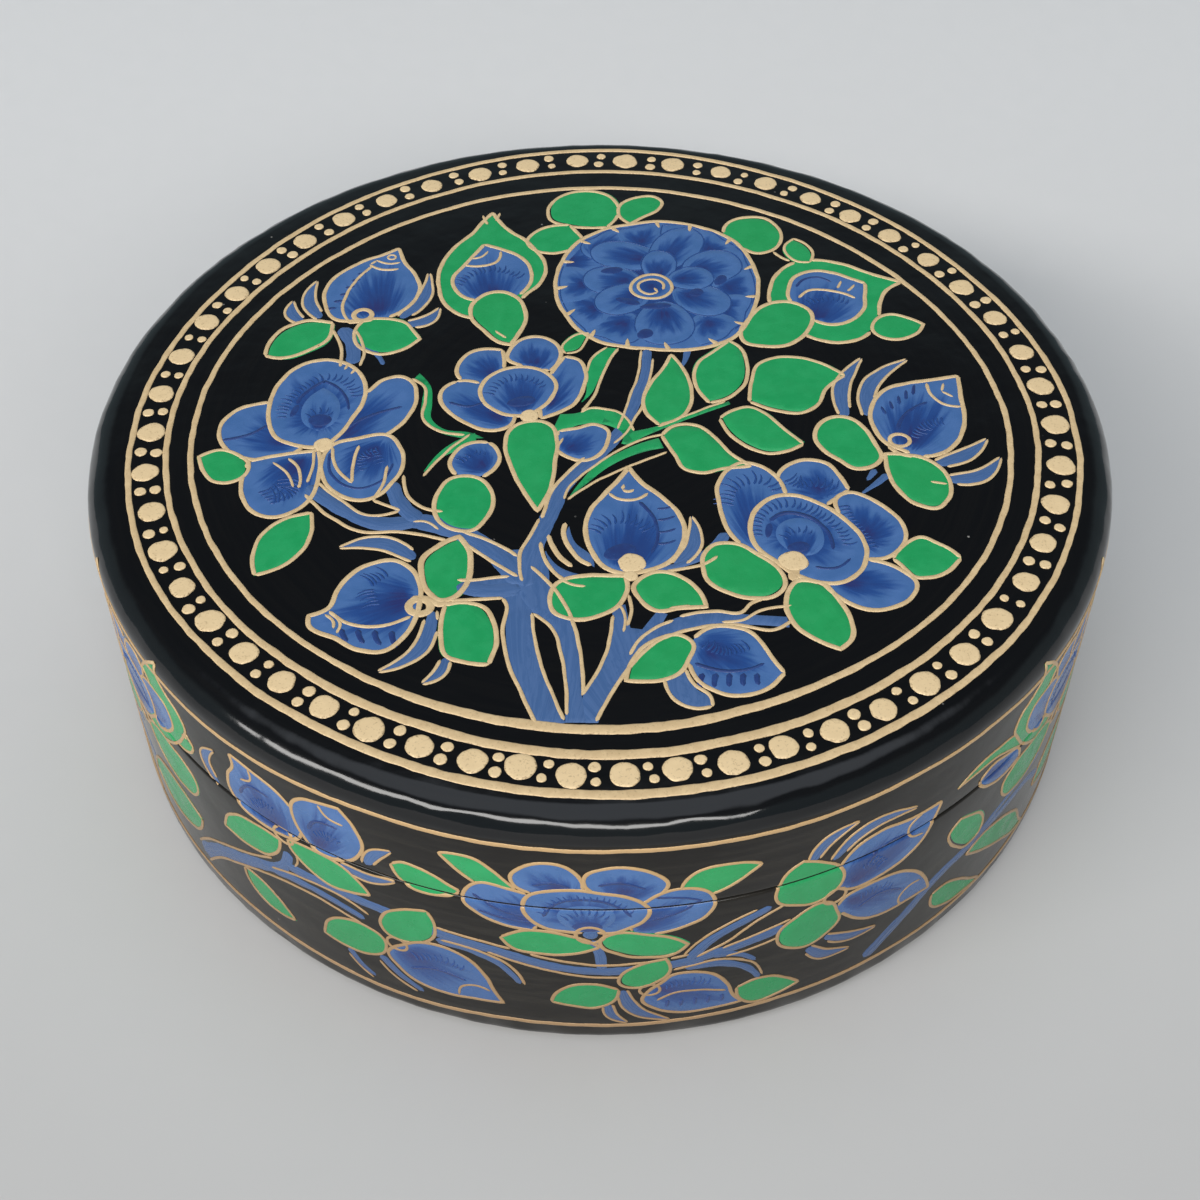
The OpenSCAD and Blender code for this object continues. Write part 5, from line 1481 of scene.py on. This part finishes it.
def wall_upright_buds(art):
    """The pair of buds on the rising stem."""
    sepal(art, -44.8, 26, -46.4, 29.6, -44.3, 32.2, w=1.3)
    sepal(art, -24.7, 27, -23.4, 29.4, -21.5, 30.9, w=1.3)
    sepal(art, -28, 25, -24.6, 24.6, -21.5, 25.6, w=1.3)
    art.petal(-41.5, 34.2, -38, 33.7, -35.5, 33, -33.8, 31.8, -32.6, 30, -32.5, 27.8, -33.5, 25.7,
              -35.5, 25, -38, 24.8, -41.5, 25.5, -42.7, 27.5, -42.5, 30, -41.3, 32.5, foot=(-36, 25.8))
    art.ink(-41, 28, -39.4, 30.4, -36.4, 30.8, w=0.5)
    art.comb(-39.6, 28, -37.8, 29.4, -35.6, 29, reach=-1.5)
    art.line(-38.8, 33.6, -38.8, 31.8, -40.4, 30.8, w=0.55)
    art.petal(-27, 35.2, -29, 34.8, -31.5, 34, -33, 32.5, -33.3, 30.5, -32.5, 27.5, -31, 25.6, -29, 25.5,
              -27, 26.3, -25.3, 28.3, -24.8, 30.5, -25.5, 33, foot=(-30.6, 26.6))
    art.ink(-31.4, 29, -30, 31.2, -27.6, 31.4, w=0.5)
    art.comb(-31, 28.8, -29, 30, -27, 29, reach=-1.5)
    art.line(-29.6, 34.2, -28.8, 32.8, -26.8, 32.4, w=0.55)
    art.leaf(-34.8, 24.8, -31.5, 25.3, -28, 24.8, -25.5, 22.5, -24.8, 21.3, -27, 20.5, -30, 20, -33, 21.5,
             -34.7, 23.5)
    art.leaf(-36, 23.7, -39, 23.7, -42.5, 22.8, -44.5, 21, -45.7, 18.1, -42, 18, -38.5, 19, -36.5, 21.5)
    art.knob(-35.4, 25, 1.3, w=0.7)


def wall_low_bud(art):
    """The bud that hangs under the stem, with its leaves."""
    art.leaf(-43.6, 12.2, -41.4, 12.2, -38.4, 10.6, -36.3, 8.2, -38.8, 7.6, -41.8, 8.4, -43.4, 10.2)
    art.leaf(-18.2, 21.8, -21, 20.8, -23.2, 19, -24, 16.8, -23.3, 15, -22, 14.6, -19.5, 15.3, -17.9, 17,
             -17.5, 19)
    art.petal(-21.5, 14, -19.5, 15.4, -16.5, 15.7, -14, 14.3, -12.3, 11.5, -11.5, 9, -10.6, 6.9, -14, 6.7,
              -17, 6.5, -20, 7, -22.5, 9, -23.6, 11, foot=(-21, 12.4))
    art.ink(-21, 9.6, -18, 10.8, -14.6, 10, w=0.5)
    art.comb(-20.2, 11.4, -17.6, 12.4, -14.8, 11.6, reach=1.5)
    art.line(-15.6, 6.9, -15.2, 8.6, -13.6, 9.4, -12, 8.8, w=0.58)
    art.leaf(-24.2, 14, -26, 14.8, -29, 14.3, -31, 12.5, -31.9, 9.4, -29, 8.8, -26, 9.3, -24, 11)
    art.knob(-22.3, 13.6, 1.2, w=0.65)
    art.leaf(-21.7, 28.8, -20.5, 29.6, -18.7, 29.4, -17, 28.7, -15.5, 27.7, -14.4, 27, -14.9, 26.2,
             -16.5, 25.4, -18.2, 25.2, -19.8, 25.5, -21, 26.8)


def wall_pair(art):
    """Two buds that lie back to back, and the leaves beyond them."""
    sepal(art, 22, 28.7, 23.4, 31.4, 27, 33.1, w=1.4)
    sepal(art, 24.6, 27.8, 27.6, 30.9, 34.5, 30.6, w=1.4)
    sepal(art, 23, 12.4, 24.8, 10.2, 28.5, 9, w=1.4)
    sepal(art, 25, 13.4, 27.8, 11.6, 31.8, 10.8, w=1.3)
    art.petal(26, 27, 28, 29, 30.5, 29.6, 33.5, 29, 36, 28.8, 38.3, 28.8, 37.5, 26, 36.8, 24, 34.5, 22,
              31, 21, 27.5, 21, 25.6, 22.4, foot=(27.6, 22.2))
    art.ink(29, 24, 30.6, 26.4, 33.6, 26.6, w=0.5)
    art.comb(28.4, 24.4, 30.4, 25.2, 32, 23.2, reach=-1.5)
    art.line(35.6, 28.8, 34, 27.4, 34.4, 25.6, 36.2, 24.8, w=0.58)
    art.petal(26.5, 19.5, 30, 20.2, 33, 19.8, 36, 18, 38, 15.3, 39.2, 12.3, 36, 12.5, 32, 12.8, 29, 14.3,
              27, 16.5, 26, 18, foot=(27.6, 18.8))
    art.ink(28.8, 16.6, 31.6, 17.4, 34.6, 15.8, w=0.5)
    art.comb(28.8, 18, 31, 18.2, 33, 17, reach=1.2)
    art.line(35, 12.6, 34.6, 14.2, 35.8, 15.4, 37.4, 15.4, w=0.58)
    art.leaf(21, 29.4, 23.5, 28, 25.5, 26, 26.2, 24, 25.8, 22.5, 23.5, 21, 20.5, 21.8, 18.5, 23.5, 18.5, 26,
             19.5, 28.3)
    art.leaf(24, 20.5, 21, 19.3, 19.3, 17.5, 19.3, 15.3, 21, 13.5, 22.5, 13, 25, 14, 26.5, 16, 26, 18,
             25, 20)
    art.knob(25.5, 20.8, 1.3, w=0.7)
    art.leaf(42.5, 22, 44, 21.3, 46.5, 19.5, 47.3, 17.5, 46.8, 15.5, 45, 15, 43, 16.5, 41.5, 18.5, 41, 20.5)
    art.leaf(40.3, 9.8, 42, 10, 44.5, 8.8, 47, 6.5, 49.8, 3.9, 46.5, 4.4, 43, 5.3, 40.5, 7.5)


def wall_sheathed_bloom(art):
    """The blue bloom in a green sheath, between one run of the pattern and the next."""

    def beside(side, *flat):
        return [c if k % 2 else BLOOM_MIDDLE + side * c for k, c in enumerate(flat)]

    art.leaf(40.5, 29, 43, 30.4, 47, 30.7, 50, 30, 52, 28.4, 53.7, 25.3, 50, 27.5, 47, 29, 44, 29.2, w=0.6)
    art.petal(44.5, 27, 46, 28, 49, 27.5, 52, 25.8, 52.5, 24, 50, 23.5, 47.5, 24, 45, 25.8, foot=(46, 26.6))
    art.leaf(*beside(1, 13.2, 29.5, 10.4, 31, 12.9, 30.5, 14.2, 29, 13.4, 27.5, 10.9, 26.5, 8.4, 27,
                     9.1, 29.5), w=0.7)
    for side in (-1, 1):
        art.leaf(*beside(side, 12.4, 29.4, 13.2, 31, 12.6, 33, 10.4, 34.6, 9.2, 35.8, 9.1, 38.2, 7.4, 37,
                         5.2, 34.4, 6.6, 32, 5, 27.4, 2.4, 23.4, 5.4, 23.2, 9, 25), w=0.75)
    art.petal(*beside(-1, 5, 33.8, 3.6, 35, 1, 34.8, -1.4, 32.6, 0.6, 30, 4, 30.4),
              foot=beside(-1, 1.6, 30.4))
    art.petal(*beside(1, 5, 33.8, 3.6, 35, 1, 34.6, -0.6, 32.2, 1.4, 30, 4, 30.4),
              foot=beside(1, 1.6, 30.4))
    for side in (-1, 1):
        art.petal(*beside(side, 9.8, 31.5, 10.2, 29, 8.8, 26.8, 6, 24.8, 4, 26.8, 3.2, 29.6, 4.4, 31.8,
                          7, 32.4), foot=beside(side, 4.8, 26))
    art.petal(*beside(1, -5.4, 27.5, -4.6, 30, -1.6, 31, 1.6, 31, 4.6, 30, 5.4, 27.5, 3.6, 24.4, 0, 22.6,
                      -3.6, 24.4), foot=beside(1, 0, 23.4), w=0.85)
    art.ink(*beside(1, -3.6, 26.4, -1.8, 28.8, 1.8, 28.8, 3.6, 26.4), w=0.5)
    art.comb(*beside(1, -3.4, 26.8, -1.6, 28.6, 1.6, 28.6, 3.4, 26.8), reach=1.3)
    for side in (-1, 1):
        art.leaf(*beside(side, 12.6, 21.5, 11, 23, 7.6, 23.5, 4, 23.2, 1.4, 21.4, 2.6, 19, 5.4, 17.5,
                         9, 17.3, 11.4, 18, 12.6, 20))
    art.leaf(45.3, 12.8, 48, 14, 51, 13.5, 54, 12, 57, 9.5, 58.5, 6.5, 60.2, 4.1, 57.5, 4.8, 54, 7, 50, 9.5,
             47, 11.5, w=0.8)
    art.leaf(61, 9.8, 62.4, 12.8, 66, 15, 70, 15.2, 74.4, 13.6, 73, 10.4, 69.4, 8.4, 65, 8, w=0.8)
    art.knob(BLOOM_MIDDLE, 21.6, 1.4, w=0.75)


def wall_paint():
    """The scrolling band, three times round the wall, between its two gold lines."""
    wall_line("upper_line", "lid", UPPER_LINE_H, 0.3)
    wall_line("lower_line", "base", LOWER_LINE_H, 8.3)
    for lap in range(LAPS):
        art = Painting(f"side_{lap + 1}", 41 + lap, brush=0.58)
        for draw in (wall_stems, wall_upright_buds, wall_low_bud, wall_bloom, wall_sprig, wall_pair,
                     wall_sheathed_bloom):
            draw(art)
        on_wall(art, lap * REPEAT)


def lid_paint():
    """Everything on the lid's top, the border first."""
    border_rings()
    border_beads()
    shapes = (trunk, twig, rosette, left_sheathed_bud, right_sheathed_bud, upper_left_bud, left_bloom,
              middle_bloom, centre_bud, right_bloom, right_bud, lower_left_bud, lower_right_bud)
    lifts = {twig: 0.034, middle_bloom: 0.02}
    for seed, draw in enumerate(shapes, 21):
        art = Painting(draw.__name__, seed, lift=lifts.get(draw, 0))
        draw(art)
        on_lid(art)


def studio():
    """A pale paper floor, its colour painted darker towards the front as painted shade, under one wide soft
    lamp, in a dim cool room.
    """
    f = Finish("paper_floor")
    place = f.place()
    # Painted shade: the floor's colour darkens towards the front, for a shadow in front of the box
    far = f.ease(f.parts(place)[1], -0.13, 0.16)
    f.drive(
        Base_Color=f.mix(far, (0.52, 0.51, 0.5, 1), (0.74, 0.735, 0.73, 1)),
        Roughness=f.ease(f.noise(place, 300, 2), 0.3, 0.7, 0.55, 0.7),
    )
    half = 3
    corners = [(-half, -half, 0), (half, -half, 0), (half, half, 0), (-half, half, 0)]
    mesh = bpy.data.meshes.new("floor")
    mesh.from_pydata(corners, [], [(0, 1, 2, 3)])
    mesh.materials.append(f.material)
    floor = bpy.data.objects.new("floor", mesh)
    bpy.context.scene.collection.objects.link(floor)
    floor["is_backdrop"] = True

    world = bpy.data.worlds.new("room")
    world.use_nodes = True
    room = Nodes(world.node_tree)
    back = world.node_tree.nodes["Background"]
    up = room.parts(room.add("ShaderNodeTexCoord", output="Generated"))[2]
    walls = room.mix(room.ease(up, 0.45, 0.66), (0.19, 0.25, 0.27, 1), (0.045, 0.05, 0.055, 1))
    sky = room.mix(room.ease(up, 0.8, 0.9), walls, (0.92, 0.99, 1.09, 1))
    room.tree.links.new(sky.socket, back.inputs["Color"])
    bpy.context.scene.world = world

    lamp = bpy.data.lights.new("window", "AREA")
    lamp.shape = "RECTANGLE"
    lamp.size, lamp.size_y = 4, 0.45
    lamp.energy = 67
    lamp.color = (1, 0.98, 0.955)
    held = bpy.data.objects.new("window", lamp)
    held.location = (-0.65, -1.59, 1.37)
    held.rotation_euler = (Vector((0, 0, 0.03)) - held.location).to_track_quat("-Z", "Y").to_euler()
    bpy.context.scene.collection.objects.link(held)


def view():
    """The photograph's own view of the box."""
    lens = bpy.data.cameras.new("camera")
    lens.lens, lens.sensor_width, lens.clip_start = 54.295, 36, 0.01
    camera = bpy.data.objects.new("camera", lens)
    camera.location = (0, -0.16278, 0.18050)
    camera.rotation_euler = (math.radians(43.385), 0, 0)
    bpy.context.scene.collection.objects.link(camera)
    bpy.context.scene.camera = camera
    bpy.context.scene.view_settings.view_transform = "Standard"


make_shells()
lid_paint()
wall_paint()
studio()
view()

[[list(corner) for corner in box] for box in (cad_box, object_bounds())]
